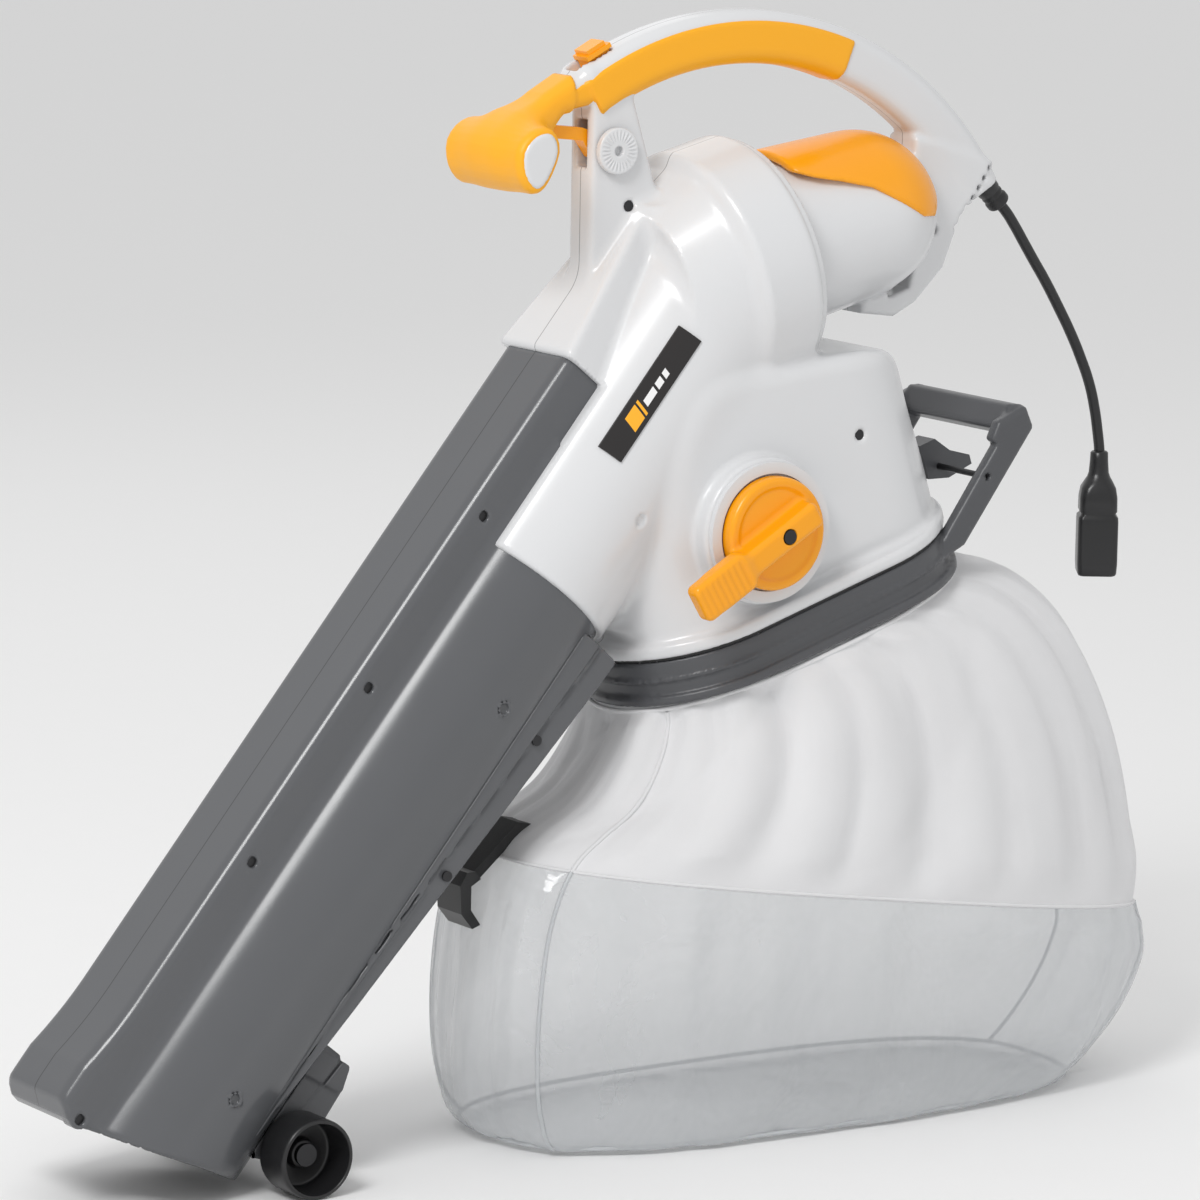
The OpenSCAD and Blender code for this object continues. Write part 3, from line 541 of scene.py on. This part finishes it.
# ---------------------------------------------------------------- motor hood
# The orange hood over the top of the motor: a thin moulded cap, open at its front lip, clipped over the
# barrel. Its lower edge dips in a long curve towards the rear.
hood_line = [(46, 92), (46, 50), (58, 43), (72, 37), (92, 27), (124, -2), (138, -7), (152, 2), (168, 30),
             (168, 92)]


def hood(x, y, z):
    """The orange cap over the motor."""
    t, u = turned(x, z, FAN, FAN_RISE)
    outer = motor_barrel(x, y, z, 1.6) - 0.11 * np.clip(108 - t, 0, 66)
    shape = common(outer, outline(t, u, hood_line) + 0 * y, 2.5)
    return cut(shape, np.maximum(np.maximum(motor_barrel(x, y, z, 2.5), t - 54), 40 - t), 1)


orange_abs = finish_of("orange_abs", (0.92, 0.36, 0.003), 0.24, grain=0.05, mottle=0.015)
moulded("motor_hood", hood, (112, -62, 556), (252, 62, 652), 1.8, orange_abs, "machine",
        replaced=("motor_cover",))


# ---------------------------------------------------------------- soft grips
# Orange soft elastomer moulded over the belly of the handle, over the arm and round the cross grip in front.
# It bonds to the white core in the second shot; a hard cap closes each end of the cross grip.
bar_line = flowing([(-88, 624), (-80, 633), (-70, 634), (-66, 624), (-73, 608), (-80, 603), (-87, 611)], 3)


def soft_grip(x, y, z):
    """The soft orange layer of the handle and the cross grip."""
    arch = common(arch_of(x, y, z, 17, 16.4, 10), between(x, z, 69, 122), 2)
    rho = np.hypot(x - ARCH[0], z - ARCH[1])
    belly = common(arch, rho - 227.2, 1.0)
    arm = common(prism(x, z, y, arm_line, 15.4, 8, 5.5), x + 34, 1.0)
    bar = prism(x, z, y, bar_line, 45, 7, 4.5)
    front = join(arm, bar, 26)
    shape = join(join(belly, front, 2), common(prism(x, z, y, arm_line, 14.4, 7, 3.8), rho - 227.2, 1.0), 2)
    shape = cut(shape, np.maximum(prism(x, z, y, bar_line, 60, 0, 1.2), 43.4 - np.abs(y)), 0.6)
    return cut(shape, np.maximum(prism(x, z, y, lock_slot, 5.8, 0), z - 650))


def grip_cap(x, y, z):
    return prism(x, z, y, bar_line, 44.4, 0.8, 0.8)


orange_soft = finish_of("orange_elastomer", (0.92, 0.41, 0.004), 0.44, grain=0.35, grain_size=2400.0,
                        mottle=0.015)
moulded("soft_grip", soft_grip, (-98, -48, 592), (184, 48, 702), 1.8, orange_soft, "machine",
        replaced=("grip_left", "grip_right", "cross_grip"))
moulded("grip_end_caps", grip_cap, (-96, -46, 594), (-60, 46, 640), 1.5, white_abs, "machine")


# ---------------------------------------------------------------- nozzle tube
# Two grey moulded halves: a wide round suction duct with a flat blowing duct on top, screwed along the side.
# They are injected in matt grey ABS, and the upper end is held in the collar of the housing.
nose_line = [(-557, -12), (-556, -6), (-548, 5), (-540, 8), (-520, 8), (2, 8), (2, -150), (-520, -150),
             (-534, -88)]
tube_screws = ((-110, -13), (-238, -13), (-366, -13), (-552, -13))

WALL = 3.8


def tube_ducts(t, y, u, thin):
    lift = 5 * np.clip((-470 - t) / 55, 0, 1) ** 2
    rounding = max(1.5, 8.5 - thin)
    top = block(t, y, u - lift, (-620, -37 + thin, -38 + thin), (620, 37 - thin, -thin), rounding)
    return top, np.hypot(y, u + 78) - 62 + thin


def tube(t, y, u):
    """Both grey halves of the tube as one shape."""
    top, round_duct = tube_ducts(t, y, u, 0)
    round_duct = np.maximum(round_duct, t + 46)
    body = join(top, round_duct, 5)
    body = common(body, outline(t, u, nose_line) + 0 * y, 3)
    for wx, wz in tube_screws:
        body = join(body, np.maximum(np.hypot(t - wx, u - wz) - 6, np.abs(y + 35.6) - 1.6), 0.6)
    for wx, wz in ((-199, -86), (-489, -80)):
        body = join(body, np.maximum(np.hypot(t - wx, u - wz) - 5.2, np.abs(y + 56) - 6.9), 0.8)
        body = cut(body, np.maximum(np.hypot(t - wx, u - wz) - 3.2, y + 60.4), 0.4)
    top_in, round_in = tube_ducts(t, y, u, WALL)
    closed_nose = 1.4 * np.clip(u + 10, -40, 0) - t - 545
    hollow = np.minimum(np.maximum(cut(top_in, np.hypot(y, u + 78) - 62), closed_nose), round_in)
    body = cut(body, np.maximum(hollow, t + 20), 0.3)
    for wx, wz in tube_screws:
        well = np.maximum(np.hypot(t - wx, u - wz) - 3.5, y + 32.2)
        body = cut(join(body, np.maximum(np.hypot(t - wx, u - wz) - 6, np.abs(y + 30) - 6)), well, 0.4)
    return body


grey_abs = scored(finish_of("grey_abs", (0.10, 0.103, 0.11), 0.2, grain=0.05, mottle=0.03), "Y", width=0.35)
moulded("nozzle_tube", tube, (-568, -64.5, -143), (5, 64.5, 12), 2.0, grey_abs, "machine",
        replaced=("tube_left", "tube_right"), tilt=(NECK, TUBE_RISE))


# ---------------------------------------------------------------- tube rail
# A shallow trough screwed under the tube that carries the wheels; the same grey plastic as the tube.
# It is injected in one piece and follows the round of the duct.
rail_lip = [(-520, -100), (-505, -109), (-128, -124), (-128, -100)]
rail_shape = [(-533, -98), (-526, -104), (-505, -112), (-400, -121), (-130, -141), (-127, -100)]


def rail(t, y, u):
    """The trough under the tube."""
    body = prism(t, u, y, rail_shape, 51.5, 2.5, 2.5)
    body = join(body, prism(t, u, y, rail_lip, 54, 1.5, 0.5), 1)
    body = cut(body, np.maximum(np.abs(u + 128.5 + 0.073 * (t + 130)) - 0.7, 50.6 - np.abs(y)), 0.4)
    return cut(body, np.hypot(y, u + 78) - 61.5, 0.5)


moulded("rail", rail, (-540, -57, -148), (-120, 57, -88), 2.0, grey_abs, "machine",
        replaced=("tube_rail",), tilt=(NECK, TUBE_RISE))


# ---------------------------------------------------------------- wheels and their carriage
# A moulded carriage block clipped under the rail, a plain steel axle, and two hard black rollers that are
# hollow towards the outside.
AXLE = (-489, -145)


def on_tube(t, y, u):
    c, s = math.cos(math.radians(TUBE_RISE)), math.sin(math.radians(TUBE_RISE))
    return at(NECK[0] + t * c - u * s, y, NECK[1] + t * s + u * c)


carriage_line = [(-513, -117), (-497, -117), (-427, -124), (-427, -138), (-440, -152), (-484, -154),
                 (-497, -147), (-505, -128)]
carriage_lug = [(-447, -118), (-433, -120), (-430, -146), (-442, -150)]


def carriage(x, y, z):
    """The block that holds the axle."""
    t, u = turned(x, z, NECK, TUBE_RISE)
    body = prism(t, u, y, carriage_line, 42.4, 2.5, 2)
    body = join(body, np.maximum(np.hypot(t - AXLE[0], u - AXLE[1]) - 13, np.abs(y) - 42), 5)
    body = join(body, prism(t, u, y, carriage_lug, 44.2, 2, 3), 1)
    body = cut(body, np.maximum(np.abs(u + 136 + 0.1 * (t + 470)) - 1.0, 41 - np.abs(y)), 0.4)
    body = cut(body, np.hypot(y, u + 78) - 62.2, 0.4)
    return cut(body, np.hypot(t - AXLE[0], u - AXLE[1]) - 4.3, 0.5)


moulded("wheel_carriage_block", carriage, (-272, -47, 6), (-188, 47, 104), 1.6,
        finish_of("carriage_grey", (0.075, 0.077, 0.082), 0.4, grain=0.12), "machine",
        replaced=("wheel_carriage",))
wheel_profile = [(0, 4.2), (0, 23.4), (0.8, 24.6), (2.2, 25), (25.5, 25), (27.6, 24.7), (28.7, 24), (29, 23),
                 (28.6, 22.3), (27.5, 22), (7, 21.5), (5.4, 20.8), (5, 19.5), (5, 10.5), (5.5, 9.4),
                 (6.5, 9), (11, 8.8), (11.6, 8.2), (11.6, 4.2)]
tyre = finish_of("roller_black", (0.013, 0.013, 0.014), 0.33, grain=0.12)
for name, side in (("wheel_left", -1), ("wheel_right", 1)):
    lathe("roller_" + name[6:], wheel_profile, on_tube(AXLE[0], side * 46.5, AXLE[1]), (0, side, 0), tyre,
          "wheel_near" if side < 0 else "wheel_far", around=72, replaced=(name,))
repaint(["axle_screws", "tube_screws", "housing_screws", "latch_pin", "selector_screw"],
        finish_of("blackened_screw", (0.05, 0.05, 0.052), 0.4, grain=0.1, metal=0.9))


# ---------------------------------------------------------------- name plate
# A gloss black film label with generic slanted bars in place of any lettering, set along the collar.
# The bars are printed on the film, which holds by its own adhesive.
label_look = finish_of("label_film", (0.016, 0.014, 0.014), 0.2, grain=0.03)
repaint(["label_plate"], label_look)
tree, links = label_look.node_tree, label_look.node_tree.links
spot = tree.nodes.new("ShaderNodeTexCoord")
plate_frame = tree.nodes.new("ShaderNodeMapping")
plate_frame.vector_type = "TEXTURE"
plate_frame.inputs["Location"].default_value = on_tube(12, -60, -50)
plate_frame.inputs["Rotation"].default_value = (0, -math.radians(TUBE_RISE), 0)
links.new(spot.outputs["Object"], plate_frame.inputs["Vector"])
parts = tree.nodes.new("ShaderNodeSeparateXYZ")
links.new(plate_frame.outputs["Vector"], parts.inputs[0])


def window_of(source, low, high):
    """One inside the interval, nothing outside."""
    above, below, both = (tree.nodes.new("ShaderNodeMath") for _ in range(3))
    above.operation, below.operation, both.operation = "GREATER_THAN", "LESS_THAN", "MULTIPLY"
    above.inputs[1].default_value, below.inputs[1].default_value = low, high
    links.new(source, above.inputs[0])
    links.new(source, below.inputs[0])
    links.new(above.outputs[0], both.inputs[0])
    links.new(below.outputs[0], both.inputs[1])
    return both.outputs[0]


lean = tree.nodes.new("ShaderNodeMath")
lean.operation = "MULTIPLY_ADD"
lean.inputs[1].default_value = -0.35
links.new(parts.outputs["Z"], lean.inputs[0])
links.new(parts.outputs["X"], lean.inputs[2])
paint, chalk = (0.9, 0.42, 0.02, 1), (0.8, 0.8, 0.8, 1)
bars = ((-0.024, -0.013, -0.0042, 0.0048, paint), (-0.0115, -0.0095, -0.0042, 0.0048, paint),
        (-0.007, 0.004, -0.002, 0.002, chalk), (0.006, 0.012, -0.002, 0.002, chalk),
        (0.014, 0.018, -0.002, 0.002, chalk))
base = tree.nodes["tint"].outputs["Result"]
for low, high, z_low, z_high, colour in bars:
    mask = tree.nodes.new("ShaderNodeMath")
    mask.operation = "MULTIPLY"
    links.new(window_of(lean.outputs[0], low, high), mask.inputs[0])
    links.new(window_of(parts.outputs["Z"], z_low, z_high), mask.inputs[1])
    mix = tree.nodes.new("ShaderNodeMix")
    mix.data_type = "RGBA"
    links.new(mask.outputs[0], mix.inputs["Factor"])
    links.new(base, mix.inputs["A"])
    mix.inputs["B"].default_value = colour
    base = mix.outputs["Result"]
links.new(base, tree.nodes["Principled BSDF"].inputs["Base Color"])


# ---------------------------------------------------------------- selector knob
# The knob that turns the air flap between blowing and sucking: an orange disc with a raised lever that
# widens into a ribbed paddle. It is moulded in one and held by one screw.
def knob(x, y, z):
    """The selector disc with its lever."""
    t, u = turned(x, z, PIVOT, 211)
    r = np.hypot(x - PIVOT[0], z - PIVOT[1])
    disc = drum(y, r, -90, -78.4, 35.6, 3)
    disc = cut(disc, drum(y, r, -99, -88.6, 29, 1.5), 1.5)
    bar = block(t, u, y, (-27, -8.5, -103), (62, 8.5, -86), 4)
    paddle = block(t, u, y, (34, -12.5, -105), (76, 12.5, -91), 4.5)
    body = join(join(disc, bar, 4), paddle, 7)
    for i in range(8):
        body = cut(body, np.hypot(t - 39 - 4.6 * i, y + 106.2) - 2.4, 1.0)
    body = cut(body, np.maximum(r - 5, y + 99.4), 0.8)
    return cut(body, r - 2.2)


moulded("knob", knob, (-2, -108, 334), (112, -76, 426), 1.3, orange_abs, "selector",
        replaced=("selector_knob",))
repaint(["knob_bezel"], white_abs)
repaint(["power_slider", "lock_lever"], orange_abs)
for name, size in (("knob_bezel", 1.2), ("power_slider", 0.8), ("lock_lever", 1.0), ("bag_latch", 1.5)):
    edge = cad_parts[name].modifiers.new("softened", "BEVEL")
    edge.width, edge.segments, edge.limit_method = size * MM, 3, "ANGLE"


# ---------------------------------------------------------------- bag frame and bail
# The dark oval frame that holds the bag under the outlet, with its lower lip and the carrying bail behind.
# They are injected together in dark grey ABS and hook onto the flange of the outlet.
bail_arm = [(218, 356), (236, 365), (287, 436), (282, 447), (264, 439), (260, 430), (265, 427), (226, 371)]
bail_bar = [(276, 448), (271, 436), (280, 432), (288, 437), (285, 447)]


def bag_frame(x, y, z):
    """The oval frame with its lip and the bail."""
    m, n = turned(x, z, MOUTH, MOUTH_RISE)
    ring = meet(oval(m, y, 130, 76), np.abs(n - 14) - 14, 1.5)
    ring = join(ring, meet(oval(m, y, 133.5, 79.5), np.abs(n - 3) - 3, 1.5), 1)
    ring = join(ring, meet(oval(m, y, 131.8, 77.8), np.abs(n - 16) - 1.2, 1.0), 0.8)
    ring = cut(ring, oval(m, y, 126, 72), 0.8)
    arms = meet(outline(x, z, bail_arm) - 2.5, np.abs(np.abs(y) - 57) - 5, 3)
    bar = meet(outline(x, z, bail_bar) - 2.5, np.abs(y) - 56, 3)
    arms = cut(arms, np.hypot(x - 254, z - 406) - 2.1)
    return join(ring, join(arms, bar, 3), 3)


frame_grey = finish_of("frame_grey", (0.075, 0.077, 0.083), 0.36, grain=0.1)
moulded("bag_frame_and_bail", bag_frame, (-10, -84, 262), (296, 84, 456), 2.0, frame_grey,
        "bag", replaced=("bag_frame", "bag_handle"))
repaint(["bag_latch"], frame_grey)

# ---------------------------------------------------------------- collecting bag
# A sewn bag: white woven polyester above, clear soft vinyl below, joined by a taped seam low on the sides.
# Filled out by its own stiffness, it stands on the floor and gathers in folds towards the oval frame.
import random

random.seed(7)
# level: height, slope towards the rear, front end, rear end, half width, squareness
bag_levels = [(1.6, 0.0, -20, 288, 62, 2.6), (0.9, 0.0, -60, 330, 84, 2.8), (5, 0.0, -80, 352, 93, 2.9),
              (22, 0.01, -92, 376, 98, 2.9), (50, 0.0, -98, 396, 100, 2.9), (88, -0.04, -98, 408, 100, 2.9),
              (124, -0.11, -92, 408, 99, 2.8), (152, -0.15, -78, 407, 97, 2.7),
              (182, -0.10, -56, 403, 95, 2.6), (222, 0.04, -27, 383, 91, 2.5), (262, 0.18, -8, 346, 86, 2.4),
              (292, 0.28, 2, 300, 80, 2.3), (309, 0.325, 5.4, 255.4, 77.6, 2.25)]


def bag_point(v, a):
    """A point of the bag's skin: v runs up the levels, a is the angle seen from above, 0 at the rear."""
    i = min(int(v), len(bag_levels) - 2)
    f = v - i
    last = len(bag_levels) - 1
    rows = [np.array(bag_levels[min(max(i + k, 0), last)], float) for k in (-1, 0, 1, 2)]
    z, slope, front, rear, half, square = blend(rows, f)
    c, s = math.cos(a), math.sin(a)
    reach = (abs(c) ** square + abs(s) ** square) ** (-1 / square)
    x = (front + rear) / 2 + (rear - front) / 2 * reach * c
    return x, half * reach * s, z + slope * (x - 130)


AROUND = 220
angles = [2 * math.pi * k / AROUND for k in range(AROUND)]
wobble = [(random.uniform(0, 6.28), random.randint(3, 14), random.uniform(-0.35, 0.35),
           random.uniform(0.4, 1.0)) for _ in range(9)]


def creased(v, a, low, high):
    """How far the skin stands off its plain shape: long soft folds that fade at both seams."""
    fade = max(0.0, min(1, (v - low) / 0.8)) * max(0.0, min(1, (high - v) / 0.8))
    sum_of = 0.0
    for phase, count, lean, size in wobble:
        w = math.sin(count * a + lean * v * 2.0 + phase)
        sum_of += size * (abs(w) ** 0.7 * 2 - 1.3) / (1 + 0.10 * count)
    return fade * sum_of


def bag_skin(low, high, steps, depth):
    """Points and faces of one band of the bag between two levels."""
    points = []
    rows = steps + 1
    for j in range(rows):
        v = low + (high - low) * j / steps
        for a in angles:
            x, y, z = bag_point(v, a)
            d = depth * creased(v, a, low, high)
            points.append(at(x + d * math.cos(a), y + d * math.sin(a), max(0.6, z)))
    return points, ring_faces(rows, AROUND, close=False)


cloth = finish_of("woven_polyester", (0.76, 0.76, 0.77), 0.75, grain=0.5, grain_size=2600.0, mottle=0.03)
weave_nodes, weave_links = cloth.node_tree.nodes, cloth.node_tree.links
weave = weave_nodes.new("ShaderNodeTexWave")
weave.inputs["Scale"].default_value = 900.0
weave.inputs["Distortion"].default_value = 1.0
weave_place = weave_nodes.new("ShaderNodeTexCoord")
weave_links.new(weave_place.outputs["Object"], weave.inputs["Vector"])
weave_links.new(weave.outputs["Fac"], weave_nodes["bump"].inputs["Height"])
cloth.node_tree.nodes["Principled BSDF"].inputs["Sheen Weight"].default_value = 0.2
SEAM_LEVEL = 7.0
points, faces = bag_skin(SEAM_LEVEL, 12.0, 60, 3.6)
upper_cloth = skin("bag_upper_cloth", points, faces, cloth, "bag", replaced=("bag_cloth",))

vinyl = bpy.data.materials.new("clear_vinyl")
vinyl.use_nodes = True
nodes, links = vinyl.node_tree.nodes, vinyl.node_tree.links
shader = nodes["Principled BSDF"]
shader.inputs["Base Color"].default_value = (0.66, 0.68, 0.70, 1)
shader.inputs["Roughness"].default_value = 0.08
shader.inputs["Specular IOR Level"].default_value = 0.8
place = nodes.new("ShaderNodeTexCoord")
ripple = nodes.new("ShaderNodeTexNoise")
ripple.inputs["Scale"].default_value = 11.0
ripple.inputs["Detail"].default_value = 3.0
ripple.inputs["Distortion"].default_value = 1.2
links.new(place.outputs["Object"], ripple.inputs["Vector"])
dent = nodes.new("ShaderNodeBump")
dent.inputs["Strength"].default_value = 0.7
dent.inputs["Distance"].default_value = 0.011
links.new(ripple.outputs["Fac"], dent.inputs["Height"])
links.new(dent.outputs["Normal"], shader.inputs["Normal"])
facing = nodes.new("ShaderNodeLayerWeight")
facing.inputs["Blend"].default_value = 0.35
links.new(dent.outputs["Normal"], facing.inputs["Normal"])
thick = nodes.new("ShaderNodeMapRange")
thick.inputs["To Min"].default_value = 0.34
thick.inputs["To Max"].default_value = 0.75
links.new(facing.outputs["Facing"], thick.inputs["Value"])
links.new(thick.outputs["Result"], shader.inputs["Alpha"])
points, faces = bag_skin(0.0, SEAM_LEVEL, 70, 2.8)
middle = len(points)
points.append(at(134, 0, 2))
faces += [(middle, (k + 1) % AROUND, k) for k in range(AROUND)]
lower_vinyl = skin("bag_lower_vinyl", points, faces, vinyl, "bag", replaced=("bag_window",))


# ---------------------------------------------------------------- bag seams and piping
# Folded tape sewn along the joins, filled with a thin cord: vinyl at the corners and the bottom, cloth up
# the front, at the top hem and where the cloth meets the vinyl.
def welt(name, line, radius, material, closed=False):
    """A cord of that radius sewn along a line of points."""
    made = bpy.data.curves.new(name, "CURVE")
    made.dimensions = "3D"
    made.bevel_depth = radius * MM
    made.bevel_resolution = 3
    run = made.splines.new("POLY")
    run.points.add(len(line) - 1)
    for spot_at, p in zip(run.points, line):
        spot_at.co = (*at(*p), 1)
    run.use_cyclic_u = closed
    made.materials.append(material)
    piece = bpy.data.objects.new(name, made)
    bpy.context.scene.collection.objects.link(piece)
    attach(piece, "bag")
    return piece


welt_vinyl = finish_of("welt_vinyl", (0.62, 0.64, 0.66), 0.25, grain=0.1)
welt_vinyl.node_tree.nodes["Principled BSDF"].inputs["Alpha"].default_value = 0.6
sides = {"near_front": math.radians(213), "far_front": math.radians(147), "near_rear": math.radians(-25),
         "far_rear": math.radians(25)}
for name, a in sides.items():
    line = []
    for j in range(60):
        v = 2.0 + (SEAM_LEVEL - 2.0) * j / 59
        x, y, z = bag_point(v, a)
        d = 2.8 * creased(v, a, 0.0, SEAM_LEVEL) + 0.8
        line.append((x + d * math.cos(a), y + d * math.sin(a), z))
    welt("bag_welt_" + name, line, 1.3, welt_vinyl)
line = []
corner = sides["near_front"]
for j in range(40):
    v = SEAM_LEVEL + 0.12 * j
    x, y, z = bag_point(v, corner)
    d = 3.6 * creased(v, corner, SEAM_LEVEL, 12.0)
    line.append((x + d * math.cos(corner), y + d * math.sin(corner), z))
welt("bag_seam_front", line, 1.4, cloth)
hems = (("bottom", 2.0, 1.4, welt_vinyl), ("seam", SEAM_LEVEL, 1.2, cloth), ("top", 11.9, 1.6, cloth))
for name, v, radius, kind in hems:
    line = []
    for a in angles:
        x, y, z = bag_point(v, a)
        line.append((x, y, max(z, 2.0)))
    welt("bag_welt_" + name, line, radius, kind, closed=True)


# ---------------------------------------------------------------- strap and hook
# A short black webbing strap sewn to the front of the bag, ending in a black moulded hook.
# The hook is injected in one piece and the strap is looped through it.
webbing = finish_of("webbing", (0.014, 0.014, 0.015), 0.7, grain=0.8, grain_size=1200.0)
repaint(["bag_strap"], webbing)
repaint(["strap_buckle"], black_moulding)
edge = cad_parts["strap_buckle"].modifiers.new("softened", "BEVEL")
edge.width, edge.segments, edge.limit_method = 1.0 * MM, 2, "ANGLE"

# ---------------------------------------------------------------- floor and lights
# A plain white floor and soft lamps, the usual set for a tool of this size.
floor_mesh = bpy.data.meshes.new("floor")
floor_shape = bmesh.new()
bmesh.ops.create_grid(floor_shape, x_segments=2, y_segments=2, size=12)
floor_shape.to_mesh(floor_mesh)
floor_shape.free()
floor = bpy.data.objects.new("floor", floor_mesh)
bpy.context.scene.collection.objects.link(floor)
floor_look = finish_of("floor_paper", (0.90, 0.90, 0.90), 0.7, grain=0.02, mottle=0.004)
floor_mesh.materials.append(floor_look)
world = bpy.data.worlds.new("room")
world.use_nodes = True
world.node_tree.nodes["Background"].inputs["Color"].default_value = (1, 1, 1, 1)
world.node_tree.nodes["Background"].inputs["Strength"].default_value = 0.72
bpy.context.scene.world = world
lamps = (("key", (-1.9, -1.2, 2.4), (0, 0, 0.3), 0.9, 42), ("fill", (2.0, -2.0, 1.4), (0, 0, 0.3), 2.0, 2),
         ("back", (0.6, 2.4, 2.2), (0, 0, 0.4), 2.0, 6))
for name, spot_at, aim, size, power in lamps:
    lamp_data = bpy.data.lights.new(name, "AREA")
    lamp_data.size, lamp_data.energy = size, power
    lamp = bpy.data.objects.new(name, lamp_data)
    lamp.location = spot_at
    lamp.rotation_mode = "QUATERNION"
    lamp.rotation_quaternion = (Vector(aim) - Vector(spot_at)).to_track_quat("-Z", "Y")
    bpy.context.scene.collection.objects.link(lamp)
bpy.context.scene.view_settings.view_transform = "Standard"
